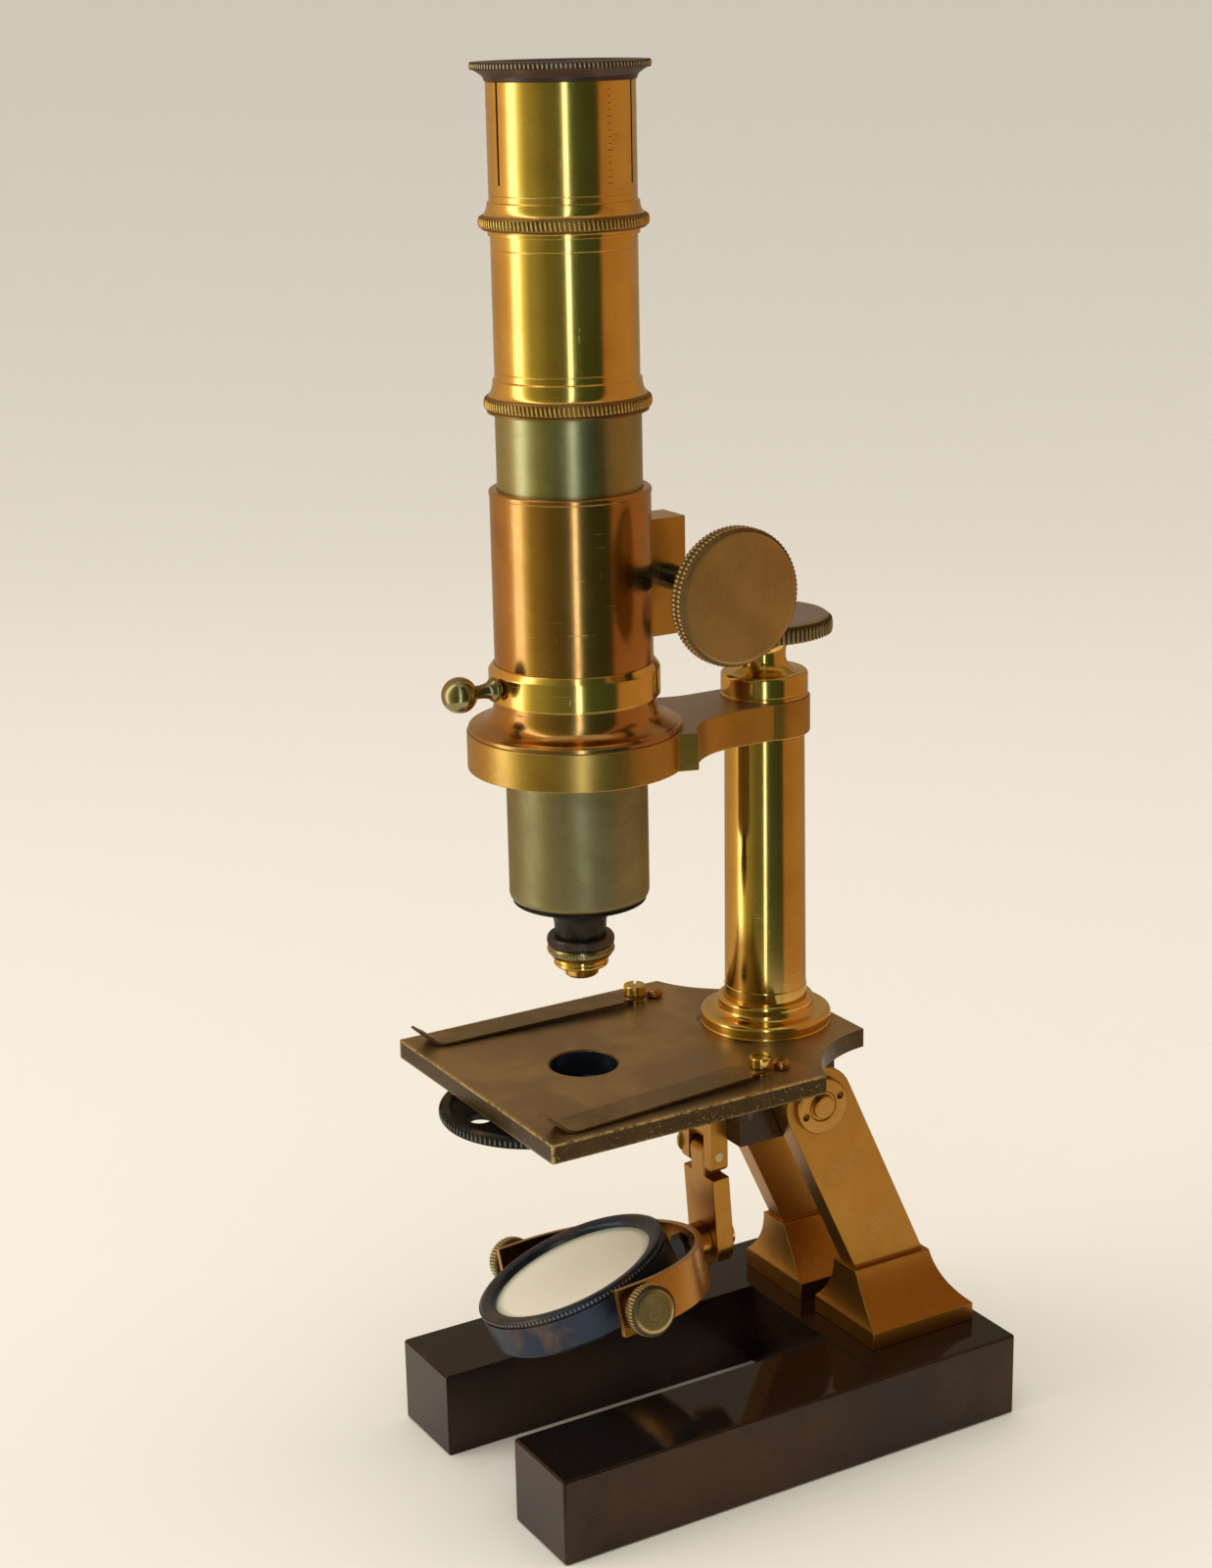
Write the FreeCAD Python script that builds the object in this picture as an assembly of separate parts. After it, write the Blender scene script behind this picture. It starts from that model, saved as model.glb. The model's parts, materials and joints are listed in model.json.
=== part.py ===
import FreeCAD
import Part
import math
import os

# Antique brass compound microscope, sizes in millimetres.
# X is to the right, Y to the back, Z up; the open end of the horseshoe faces -Y.

# horseshoe foot
foot_width = 80.0
foot_length = 128.4
foot_height = 21.4
foot_leg_width = 22.9
foot_crossbar = 40.0
foot_edge_bevel = 0.5

# places along Y, measured back from the front of the foot
optical_axis_back = 30.5
pillar_axis_back = 81.4
trunnion_axis_back = 84.4
disc_axis_back = 16.7
stage_front_back = 1.1
stage_side_end_back = 73.4
stage_tail_back = 97.4
pedestal_front_back = 94.0

# heights above the table
trunnion_height = 85.4
stage_top = 101.8
arm_bottom = 174.4
arm_top = 183.0
flange_top = 190.4
collar_top = 198.4
jacket_top = 237.3
pinion_height = 215.3
body_top = 254.1
draw_joint = 291.7
head_top = 323.4
cap_top = 327.4
nose_height = 143.3
neck_bottom = 133.9
objective_tip = 123.9
fine_knob_bottom = 197.0

# fits
running_clearance = 0.05
free_gap = 0.3

# uprights
upright_thickness = 6.4
upright_half_gap = 12.3
upright_radius = 9.3
upright_lean = 24.6
pedestal_height = 18.2
plinth_height = 4.6
plinth_length = 30.5
plinth_width = 24.9
plinth_inner_x = 3.1
pedestal_top_width = 9.2
pedestal_top_length = 22.6
pedestal_curve = 1.6
upright_screw_radius = 2.0
upright_screw_head_radius = 3.8
upright_screw_head_height = 2.4
upright_screw_rise = 11.0

# trunnion
axle_radius = 4.0
trunnion_cap_radius = 7.0
trunnion_cap_height = 1.5
trunnion_cap_spigot = 5.4
trunnion_hub_radius = 2.9
trunnion_hub_height = 0.8
spanner_hole_radius = 1.0
spanner_hole_reach = 5.2
spanner_hole_depth = 1.0
hinge_front_back = 66.0
hinge_back_back = 93.4
hinge_bottom = 76.2
hinge_side_gap = 0.3
hinge_edge_round = 4.0
hinge_screw_radius = 1.6
hinge_screw_head_radius = 2.9
hinge_screw_head_height = 1.5
hinge_screw_depth = 7.0
hinge_screw_x = 8.2
hinge_screw_inset = 4.2

# stage
stage_half_width = 37.0
stage_thickness = 4.6
stage_tail_half_width = 18.3
stage_scoop_radius = 19.5
aperture_radius = 8.0
aperture_rim_bevel = 0.4

# diaphragm disc
disc_radius = 21.8
disc_thickness = 2.4
disc_gap = 2.0
disc_aperture_radii = [0.7, 5.0, 3.8, 2.8, 2.0, 1.2]
disc_dish_depth = 0.8
disc_dish_radius = 18.6
disc_pivot_radius = 1.8
disc_pivot_head_radius = 3.6
disc_pivot_head_height = 1.3
disc_pivot_grip = 3.0

# stage clips
clip_half_spacing = 28.0
clip_width = 8.0
clip_thickness = 0.6
clip_post_back = 61.4
clip_tab_half = 3.0
clip_tab_length = 4.6
clip_rest_turn = 3.0
clip_root_lift = 1.2
clip_flat_length = 8.0
clip_contact_lift = 0.2
clip_contact_reach = 53.0
clip_tip_reach = 59.5
clip_tip_lift = 4.6
clip_tip_width = 2.6
clip_post_radius = 1.3
clip_post_foot_radius = 2.1
clip_post_head_radius = 2.7
clip_post_head_height = 2.6
clip_post_depth = 3.0
clip_pin_offset = 5.6
clip_pin_radius = 0.9
clip_pin_head_radius = 2.1
clip_pin_height = 2.2

# pillar
flange_radius = 15.7
flange_disc_height = 3.6
flange_step_radius = 11.5
flange_step_height = 3.4
flange_floor = 1.6
pillar_bottom_radius = 9.9
pillar_top_radius = 9.4
pillar_bore = 8.2
pillar_bottom_lift = 3.8
pillar_straight = 6.0
guide_bar_half = 4.5
guide_bar_top = 168.0
guide_stem_radius = 4.0
guide_stem_depth = 7.0
bushing_height = 11.0
lower_bushing_lift = 5.0
upper_bushing_drop = 24.0
fine_screw_radius = 1.8
fine_screw_grip = 10.0
cap_disc_radius = 10.2
cap_disc_height = 6.0
cap_spigot = 5.0
cap_neck_radius = 5.0
fine_knob_radius = 15.9
fine_knob_height = 5.4
fine_screw_entry = 2.2
fine_travel = 1.2

# arm
arm_ring_wall = 6.76
arm_socket_radius = 10.7
arm_seat_lip = 1.6
arm_shoulder_x = 20.8
arm_shoulder_back = 50.0
arm_waist_x = 9.8
arm_waist_back = 66.2
arm_curve_x = 12.9
arm_curve_back = 56.7

# jacket, collar and its clamp screw
tube_radius = 16.0
jacket_wall = 1.74
jacket_lip_height = 1.2
cove_rim_inset = 0.4
cove_rim_height = 0.9
cove_neck_wall = 0.36
collar_wall = 1.46
collar_bevel = 1.2
collar_groove = 0.45
clamp_screw_radius = 1.45
clamp_bead_radius = 2.5
clamp_neck_radius = 1.6
clamp_ball_radius = 4.0
clamp_screw_proud = 9.8

# rack, pinion and coarse knobs
tooth_module = 0.6
pinion_teeth = 12
pressure_angle = 20.0
tooth_addendum_share = 0.85
tooth_backlash = 0.16
root_clearance = 0.2
rack_width = 4.0
rack_height = 3.4
rack_slot_gap = 0.3
rack_up_reach = 20.4
rack_down_reach = 24.0
pinion_shaft_radius = 2.8
housing_half_width = 4.6
housing_height = 26.6
housing_depth_behind = 4.2
housing_screw_radius = 0.7
housing_screw_head_radius = 1.15
housing_screw_head_height = 0.6
housing_screw_x = 3.35
housing_screw_z = 10.6
coarse_knob_radius = 15.4
coarse_knob_thickness = 5.8
coarse_knob_face = 33.6
coarse_knob_bore = 2.0
coarse_knob_floor = 1.6

# body tube, draw tube and eyepiece
body_wall = 1.1
body_floor = 3.0
body_edge_round = 1.6
nose_thread_inset = 4.0
extension_inset = 0.2
extension_spigot = 6.0
knurl_ring_proud = 2.35
draw_inset = 1.8
draw_wall = 0.8
draw_bottom = 226.0
draw_seat_height = 5.0
head_inset = 0.12
slit_width = 0.7
slit_depth = 21.0
slit_angles = [-87.0, 37.0, 155.0]
eyepiece_inset = 1.6
eyepiece_wall = 0.9
eyepiece_length = 40.0
cap_proud = 3.25
cap_rim_height = 1.8
cap_cone_proud = 0.1
cap_dish_inset = 1.4
cap_dish_depth = 1.6
eye_opening_radius = 4.6
cap_spigot_depth = 6.5
eye_lens_radius = 7.6
eye_lens_seat = 1.0
field_lens_seat = 2.2

# nose adapter and objective
adapter_disc_inset = 0.7
adapter_disc_height = 1.0
adapter_neck_radius = 5.9
adapter_bore = 4.2
adapter_flare_radius = 9.4
objective_radius = 7.8
cell_upper_height = 2.5
cell_middle_height = 2.6
cell_front_height = 2.4
cell_front_radius = 6.3
cell_tip_radius = 3.95
cell_gap_groove = 0.5
cell_bore = 3.4
front_lens_radius = 2.4
lens_flat = 0.4

# mirror
bracket_half_width = 6.6
bracket_thickness = 4.8
bracket_cheek = 3.6
bracket_bottom = 68.4
mirror_pivot_height = 72.2
mirror_pivot_radius = 1.3
pivot_head_radius = 3.4
pivot_head_height = 1.3
bracket_screw_radius = 1.3
bracket_screw_head_radius = 2.3
bracket_screw_head_height = 1.0
mirror_arm_lean = 4.0
mirror_axis_drop = 23.8
mirror_swivel = -13.5
mirror_tilt = 14.0
fork_pivot_radius = 2.2
fork_boss_radius = 4.6
fork_boss_length = 4.4
fork_nut_radius = 3.6
fork_nut_height = 2.2
fork_side_room = 7.0
fork_thickness = 1.6
fork_height = 11.0
fork_tail = 5.5
mirror_radius = 24.0
mirror_depth = 10.0
mirror_wall = 2.2
mirror_floor = 1.4
mirror_glass_gap = 1.2
mirror_glass_thickness = 2.6
mirror_bezel_height = 1.6
mirror_bezel_width = 4.0
mirror_screw_radius = 1.6
mirror_screw_head_radius = 6.0
mirror_screw_head_length = 4.2
mirror_screw_boss = 2.0

diagonal = math.sqrt(0.5)
x_axis = FreeCAD.Vector(1, 0, 0)
y_axis = FreeCAD.Vector(0, 1, 0)
z_axis = FreeCAD.Vector(0, 0, 1)

# radii that follow the tube and the mirror
jacket_radius = tube_radius + jacket_wall
arm_ring_radius = jacket_radius + arm_ring_wall
cove_rim_radius = arm_ring_radius - cove_rim_inset
cove_neck_radius = jacket_radius + cove_neck_wall
collar_radius = jacket_radius + collar_wall
clamp_ball_reach = collar_radius + clamp_screw_proud
body_bore = tube_radius - body_wall
nose_thread_radius = tube_radius - nose_thread_inset
extension_radius = tube_radius - extension_inset
knurl_ring_radius = tube_radius + knurl_ring_proud
draw_radius = tube_radius - draw_inset
head_radius = tube_radius - head_inset
eyepiece_radius = tube_radius - eyepiece_inset
cap_radius = tube_radius + cap_proud
cap_cone_radius = tube_radius + cap_cone_proud
cap_dish_radius = tube_radius - cap_dish_inset
adapter_disc_radius = tube_radius - adapter_disc_inset
mirror_glass_radius = mirror_radius - mirror_wall - mirror_glass_gap
mirror_bezel_opening = mirror_radius - mirror_bezel_width
fork_bend_radius = mirror_radius + fork_side_room

# derived places
disc_overhang = disc_radius - disc_axis_back
foot_front = (disc_overhang - foot_length) / 2
foot_back = foot_front + foot_length
optical_y = foot_front + optical_axis_back
pillar_y = foot_front + pillar_axis_back
trunnion_y = foot_front + trunnion_axis_back
disc_y = foot_front + disc_axis_back
stage_bottom = stage_top - stage_thickness
pitch_radius = tooth_module * pinion_teeth / 2
addendum = tooth_module * tooth_addendum_share
pinion_y = optical_y + tube_radius + rack_height - addendum + pitch_radius
hinge_front = foot_front + hinge_front_back
bracket_y = hinge_front - bracket_thickness / 2
mirror_axis_z = mirror_pivot_height - mirror_axis_drop
fork_center_y = bracket_y - bracket_thickness / 2 - fork_boss_length - fork_bend_radius
clip_post_y = foot_front + clip_post_back

parts = {}


def at(x, y, z):
    return FreeCAD.Vector(x, y, z)


def rod(radius, length, start, axis=z_axis):
    return Part.makeCylinder(radius, length, start, axis)


def block(x0, x1, y0, y1, z0, z1):
    return Part.makeBox(x1 - x0, y1 - y0, z1 - z0, at(x0, y0, z0))


def outline(points):
    # two numbers are a corner; four are the middle and the end of an arc
    edges = []
    here = at(points[0][0], 0, points[0][1])
    first = here
    for point in points[1:]:
        end = at(point[-2], 0, point[-1])
        if len(point) == 4:
            middle = at(point[0], 0, point[1])
            edges.append(Part.Arc(here, middle, end).toShape())
        else:
            edges.append(Part.LineSegment(here, end).toShape())
        here = end
    if here.distanceToPoint(first) > 1e-6:
        edges.append(Part.LineSegment(here, first).toShape())
    return Part.Wire(edges)


def turned(points, center=at(0, 0, 0), axis=z_axis):
    # points are radius and height; the height runs along the axis from the centre
    shape = Part.Face(outline(points)).revolve(at(0, 0, 0), z_axis, 360)
    shape.Placement = FreeCAD.Placement(center, FreeCAD.Rotation(z_axis, axis))
    return shape


def slab(points, z0, z1):
    # points are X and Y; the outline is extruded from z0 to z1
    face = Part.Face(outline(points))
    face.rotate(at(0, 0, 0), x_axis, 90)
    face = face.mirror(at(0, 0, 0), y_axis)
    return face.extrude(at(0, 0, z1 - z0)).translated(at(0, 0, z0))


def side_plate(points, x0, x1):
    # points are Y and Z; the outline is extruded from x0 to x1
    face = Part.Face(outline(points))
    face.rotate(at(0, 0, 0), z_axis, 90)
    return face.extrude(at(x1 - x0, 0, 0)).translated(at(x0, 0, 0))


def mirrored(shape):
    return shape.mirror(at(0, 0, 0), x_axis)


def fused(shapes):
    whole = shapes[0].fuse(shapes[1:]) if len(shapes) > 1 else shapes[0]
    return whole.removeSplitter()


def rack_slot(radius):
    # the space the rack slides through, from the tube out to a radius
    half = rack_width / 2 + rack_slot_gap
    return block(-half, half, optical_y, optical_y + radius, nose_height, head_top)


def make_foot():
    shape = block(-foot_width / 2, foot_width / 2, foot_front, foot_back, 0, foot_height)
    shape = shape.makeChamfer(foot_edge_bevel, shape.Edges)
    inner = foot_width / 2 - foot_leg_width
    slot = block(-inner, inner, foot_front - 1, foot_back - foot_crossbar, -1, foot_height + 1)
    shape = shape.cut(slot)
    for x, y in upright_screw_places():
        shape = shape.cut(rod(upright_screw_radius, foot_height, at(x, y, 0)))
        shape = shape.cut(rod(upright_screw_head_radius, upright_screw_head_height + 0.6, at(x, y, 0)))
    parts["horseshoe_foot"] = shape


def upright_screw_places():
    x = plinth_inner_x + plinth_width / 2
    y = foot_front + pedestal_front_back
    return [(side * x, y + plinth_length * share) for side in (-1, 1) for share in (0.28, 0.72)]


def make_upright():
    x0 = upright_half_gap
    x1 = x0 + upright_thickness
    lean = math.tan(math.radians(upright_lean))
    cos_lean = math.cos(math.radians(upright_lean))
    sin_lean = math.sin(math.radians(upright_lean))
    foot_z = foot_height + pedestal_height
    drop = trunnion_height - foot_z
    center_y = trunnion_y + drop * lean
    half = upright_radius / cos_lean
    front_touch = (trunnion_y - upright_radius * cos_lean, trunnion_height - upright_radius * sin_lean)
    back_touch = (trunnion_y + upright_radius * cos_lean, trunnion_height + upright_radius * sin_lean)
    crown = (trunnion_y - upright_radius * sin_lean, trunnion_height + upright_radius * cos_lean)
    plate = side_plate(
        [
            (center_y - half, foot_z),
            front_touch,
            crown + back_touch,
            (center_y + half, foot_z),
        ],
        x0,
        x1,
    )
    top_x = x0 - (pedestal_top_width - upright_thickness) / 2
    top_y = center_y - pedestal_top_length / 2
    plinth_y = foot_front + pedestal_front_back
    low_z = foot_height + plinth_height
    lower = (plinth_inner_x, plinth_inner_x + plinth_width, plinth_y, plinth_y + plinth_length, low_z)
    upper = (top_x, top_x + pedestal_top_width, top_y, top_y + pedestal_top_length, foot_z)
    sections = []
    for share in (0.0, 0.5, 1.0):
        pinch = pedestal_curve * 4 * share * (1 - share)
        x_low = lower[0] + (upper[0] - lower[0]) * share + pinch
        x_high = lower[1] + (upper[1] - lower[1]) * share - pinch
        y_low = lower[2] + (upper[2] - lower[2]) * share + pinch * 0.5
        y_high = lower[3] + (upper[3] - lower[3]) * share - pinch
        z = lower[4] + (upper[4] - lower[4]) * share
        corners = [
            at(x_low, y_low, z),
            at(x_high, y_low, z),
            at(x_high, y_high, z),
            at(x_low, y_high, z),
        ]
        sections.append(Part.makePolygon(corners + corners[:1]))
    pedestal = Part.makeLoft(sections, True, False)
    plinth = block(lower[0], lower[1], lower[2], lower[3], foot_height, low_z)
    shape = fused([plate, pedestal, plinth])
    shape = shape.cut(
        rod(trunnion_cap_spigot, upright_thickness + 2, at(x0 - 1, trunnion_y, trunnion_height), x_axis)
    )
    for x, y in upright_screw_places():
        if x > 0:
            shape = shape.cut(rod(upright_screw_radius, upright_screw_rise, at(x, y, foot_height)))
    parts["right_upright"] = shape
    parts["left_upright"] = mirrored(shape)


def make_upright_screws():
    screws = []
    for x, y in upright_screw_places():
        head = rod(upright_screw_head_radius, upright_screw_head_height, at(x, y, 0.6))
        shank = rod(upright_screw_radius, foot_height + upright_screw_rise - 1.6, at(x, y, 0.6))
        screw = head.fuse(shank).removeSplitter()
        screw = screw.cut(block(x - 5, x + 5, y - 0.5, y + 0.5, 0, 1.5))
        screws.append(screw)
    parts["upright_screws"] = Part.makeCompound(screws)


def make_trunnion():
    # the threaded caps fill the uprights and hold the axle between them
    outer_x = upright_half_gap + upright_thickness
    cap = turned(
        [
            (0, -upright_thickness),
            (trunnion_cap_spigot, -upright_thickness),
            (trunnion_cap_spigot, 0),
            (trunnion_cap_radius, 0),
            (trunnion_cap_radius, trunnion_cap_height - 0.4),
            (trunnion_cap_radius - 0.4, trunnion_cap_height),
            (trunnion_hub_radius, trunnion_cap_height),
            (trunnion_hub_radius, trunnion_cap_height + trunnion_hub_height),
            (0, trunnion_cap_height + trunnion_hub_height),
        ],
        at(outer_x, trunnion_y, trunnion_height),
        x_axis,
    )
    cap = cap.cut(
        rod(axle_radius, upright_thickness - 1, at(upright_half_gap, trunnion_y, trunnion_height), x_axis)
    )
    for sign in (-1, 1):
        angle = math.radians(20)
        y = trunnion_y + sign * spanner_hole_reach * math.cos(angle)
        z = trunnion_height + sign * spanner_hole_reach * math.sin(angle)
        hole = rod(
            spanner_hole_radius,
            spanner_hole_depth + 1,
            at(outer_x + trunnion_cap_height - spanner_hole_depth, y, z),
            x_axis,
        )
        cap = cap.cut(hole)
    parts["trunnion_caps"] = Part.makeCompound([cap, mirrored(cap)])
    reach = upright_half_gap + upright_thickness - 1
    parts["trunnion_axle"] = rod(axle_radius, 2 * reach, at(-reach, trunnion_y, trunnion_height), x_axis)


def hinge_screw_places():
    front = hinge_front + hinge_screw_inset
    back = foot_front + hinge_back_back - hinge_screw_inset
    return [(side * hinge_screw_x, y) for side in (-1, 1) for y in (front, back)]


def make_hinge_block():
    half = upright_half_gap - hinge_side_gap
    back = foot_front + hinge_back_back
    shape = side_plate(
        [
            (hinge_front, hinge_bottom),
            (hinge_front, stage_bottom),
            (back, stage_bottom),
            (back, hinge_bottom + hinge_edge_round),
            (
                back - hinge_edge_round * 0.293,
                hinge_bottom + hinge_edge_round * 0.293,
                back - hinge_edge_round,
                hinge_bottom,
            ),
        ],
        -half,
        half,
    )
    bore = axle_radius + running_clearance
    shape = shape.cut(rod(bore, 2 * half + 2, at(-half - 1, trunnion_y, trunnion_height), x_axis))
    shape = shape.cut(
        rod(guide_stem_radius, guide_stem_depth, at(0, pillar_y, stage_bottom - guide_stem_depth))
    )
    for x, y in hinge_screw_places():
        shape = shape.cut(
            rod(hinge_screw_radius, hinge_screw_depth, at(x, y, stage_bottom - hinge_screw_depth))
        )
    for z in bracket_screw_heights():
        shape = shape.cut(rod(bracket_screw_radius, 5, at(0, hinge_front, z), y_axis))
    parts["hinge_block"] = shape


def make_stage():
    front = foot_front + stage_front_back
    side_end = foot_front + stage_side_end_back
    tail = foot_front + stage_tail_back
    scoop = stage_scoop_radius * math.sin(math.radians(45))
    scoop_x = stage_half_width - scoop
    scoop_y = tail - scoop
    shape = slab(
        [
            (-stage_half_width, front),
            (stage_half_width, front),
            (stage_half_width, side_end),
            (scoop_x, scoop_y, stage_tail_half_width, tail),
            (-stage_tail_half_width, tail),
            (-scoop_x, scoop_y, -stage_half_width, side_end),
        ],
        stage_bottom,
        stage_top,
    )
    shape = shape.cut(rod(aperture_radius, stage_thickness, at(0, optical_y, stage_bottom)))
    bevel = Part.makeCone(
        aperture_radius,
        aperture_radius + aperture_rim_bevel,
        aperture_rim_bevel,
        at(0, optical_y, stage_top - aperture_rim_bevel),
    )
    shape = shape.cut(bevel)
    shape = shape.cut(rod(guide_stem_radius, stage_thickness, at(0, pillar_y, stage_bottom)))
    for x, y in hinge_screw_places():
        head_z = stage_top - hinge_screw_head_height
        shape = shape.cut(rod(hinge_screw_radius, stage_thickness, at(x, y, stage_bottom)))
        shape = shape.cut(rod(hinge_screw_head_radius, hinge_screw_head_height, at(x, y, head_z)))
    for side in (-1, 1):
        x = side * clip_half_spacing
        shape = shape.cut(
            rod(clip_post_radius, clip_post_depth, at(x, clip_post_y, stage_top - clip_post_depth))
        )
        pin_y = clip_post_y + clip_pin_offset
        shape = shape.cut(rod(clip_pin_radius, clip_post_depth, at(x, pin_y, stage_top - clip_post_depth)))
    shape = shape.cut(rod(disc_pivot_radius, disc_pivot_grip, at(0, disc_y, stage_bottom)))
    parts["stage_plate"] = shape


def make_hinge_screws():
    screws = []
    for x, y in hinge_screw_places():
        base = stage_bottom - hinge_screw_depth + 0.4
        shank = rod(hinge_screw_radius, stage_top - base, at(x, y, base))
        head = rod(
            hinge_screw_head_radius, hinge_screw_head_height, at(x, y, stage_top - hinge_screw_head_height)
        )
        screw = shank.fuse(head).removeSplitter()
        screws.append(screw.cut(block(x - 4, x + 4, y - 0.35, y + 0.35, stage_top - 0.7, stage_top + 1)))
    parts["hinge_block_screws"] = Part.makeCompound(screws)


def make_diaphragm():
    top = stage_bottom - disc_gap
    bottom = top - disc_thickness
    disc = turned(
        [
            (disc_pivot_radius + running_clearance, bottom),
            (disc_radius - 0.3, bottom),
            (disc_radius, bottom + 0.3),
            (disc_radius, top - 0.3),
            (disc_radius - 0.3, top),
            (disc_dish_radius + 0.6, top),
            (disc_dish_radius, top - disc_dish_depth),
            (disc_pivot_head_radius + 0.6, top - disc_dish_depth),
            (disc_pivot_head_radius, top),
            (disc_pivot_radius + running_clearance, top),
        ],
        at(0, disc_y, 0),
    )
    reach = optical_y - disc_y
    for i, radius in enumerate(disc_aperture_radii):
        angle = math.radians(90 + 360 / len(disc_aperture_radii) * i)
        x = reach * math.cos(angle)
        y = disc_y + reach * math.sin(angle)
        disc = disc.cut(rod(radius, disc_thickness + 2, at(x, y, bottom - 1)))
    parts["diaphragm_disc"] = disc
    screw = turned(
        [
            (0, bottom - free_gap - disc_pivot_head_height),
            (disc_pivot_head_radius - 0.5, bottom - free_gap - disc_pivot_head_height),
            (disc_pivot_head_radius, bottom - free_gap - disc_pivot_head_height + 0.5),
            (disc_pivot_head_radius, bottom - free_gap),
            (disc_pivot_radius, bottom - free_gap),
            (disc_pivot_radius, top + free_gap),
            (disc_pivot_head_radius, top + free_gap),
            (disc_pivot_head_radius, stage_bottom),
            (disc_pivot_radius, stage_bottom),
            (disc_pivot_radius, stage_bottom + disc_pivot_grip - 0.2),
            (0, stage_bottom + disc_pivot_grip - 0.2),
        ],
        at(0, disc_y, 0),
    )
    slot_z = bottom - free_gap - disc_pivot_head_height
    screw = screw.cut(block(-4, 4, disc_y - 0.4, disc_y + 0.4, slot_z - 1, slot_z + 0.6))
    parts["diaphragm_pivot_screw"] = screw


def make_clips():
    root = clip_post_y + clip_tab_half
    flat_end = clip_post_y - clip_flat_length
    contact = clip_post_y - clip_contact_reach
    tip = clip_post_y - clip_tip_reach
    high = stage_top + clip_root_lift
    low = stage_top + clip_contact_lift
    top = stage_top + clip_tip_lift
    t = clip_thickness
    x = clip_half_spacing
    half = clip_width / 2
    strip = side_plate(
        [
            (root, high),
            (root, high + t),
            (flat_end, high + t),
            (contact, low + t),
            (contact - 1.4, low + t + 0.35, contact - 2.4, low + t + 1.2),
            (tip + t, top),
            (tip, top - 0.3),
            (contact - 2.2, low + 0.5),
            (contact - 1.2, low + 0.1, contact, low),
            (flat_end, high),
        ],
        x - half,
        x + half,
    )
    plan = slab(
        [
            (x + clip_tab_half, clip_post_y),
            (x + clip_tab_half, clip_post_y - clip_tab_length),
            (x + half, clip_post_y - clip_tab_length - 0.6),
            (x + half, contact + 1),
            (x + clip_tip_width / 2, tip - 1),
            (x - clip_tip_width / 2, tip - 1),
            (x - half, contact + 1),
            (x - half, clip_post_y - clip_tab_length - 0.6),
            (x - clip_tab_half, clip_post_y - clip_tab_length),
            (x - clip_tab_half, clip_post_y),
            (x, root, x + clip_tab_half, clip_post_y),
        ],
        stage_top,
        top + 2,
    )
    clip = strip.common(plan)
    clip = clip.cut(rod(clip_post_radius + running_clearance, 4, at(x, clip_post_y, stage_top)))
    clip.rotate(at(x, clip_post_y, 0), z_axis, clip_rest_turn)
    parts["right_stage_clip"] = clip
    parts["left_stage_clip"] = mirrored(clip)
    post = turned(
        [
            (0, stage_top - clip_post_depth + 0.2),
            (clip_post_radius, stage_top - clip_post_depth + 0.2),
            (clip_post_radius, stage_top),
            (clip_post_foot_radius, stage_top),
            (clip_post_foot_radius, high - free_gap / 2),
            (clip_post_radius, high - free_gap / 2),
            (clip_post_radius, high + t + free_gap / 2),
            (clip_post_head_radius, high + t + free_gap / 2),
            (clip_post_head_radius, high + t + clip_post_head_height - 0.4),
            (clip_post_head_radius - 0.4, high + t + clip_post_head_height),
            (0, high + t + clip_post_head_height),
        ],
        at(x, clip_post_y, 0),
    )
    parts["clip_posts"] = Part.makeCompound([post, mirrored(post)])
    pin = turned(
        [
            (0, stage_top - clip_post_depth + 0.2),
            (clip_pin_radius, stage_top - clip_post_depth + 0.2),
            (clip_pin_radius, stage_top),
            (clip_pin_head_radius - 0.5, stage_top),
            (clip_pin_head_radius, stage_top + 0.4),
            (clip_pin_head_radius, stage_top + clip_pin_height - 0.6),
            (clip_pin_head_radius - 0.6, stage_top + clip_pin_height),
            (0, stage_top + clip_pin_height),
        ],
        at(x, clip_post_y + clip_pin_offset, 0),
    )
    parts["clip_pins"] = Part.makeCompound([pin, mirrored(pin)])


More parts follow.
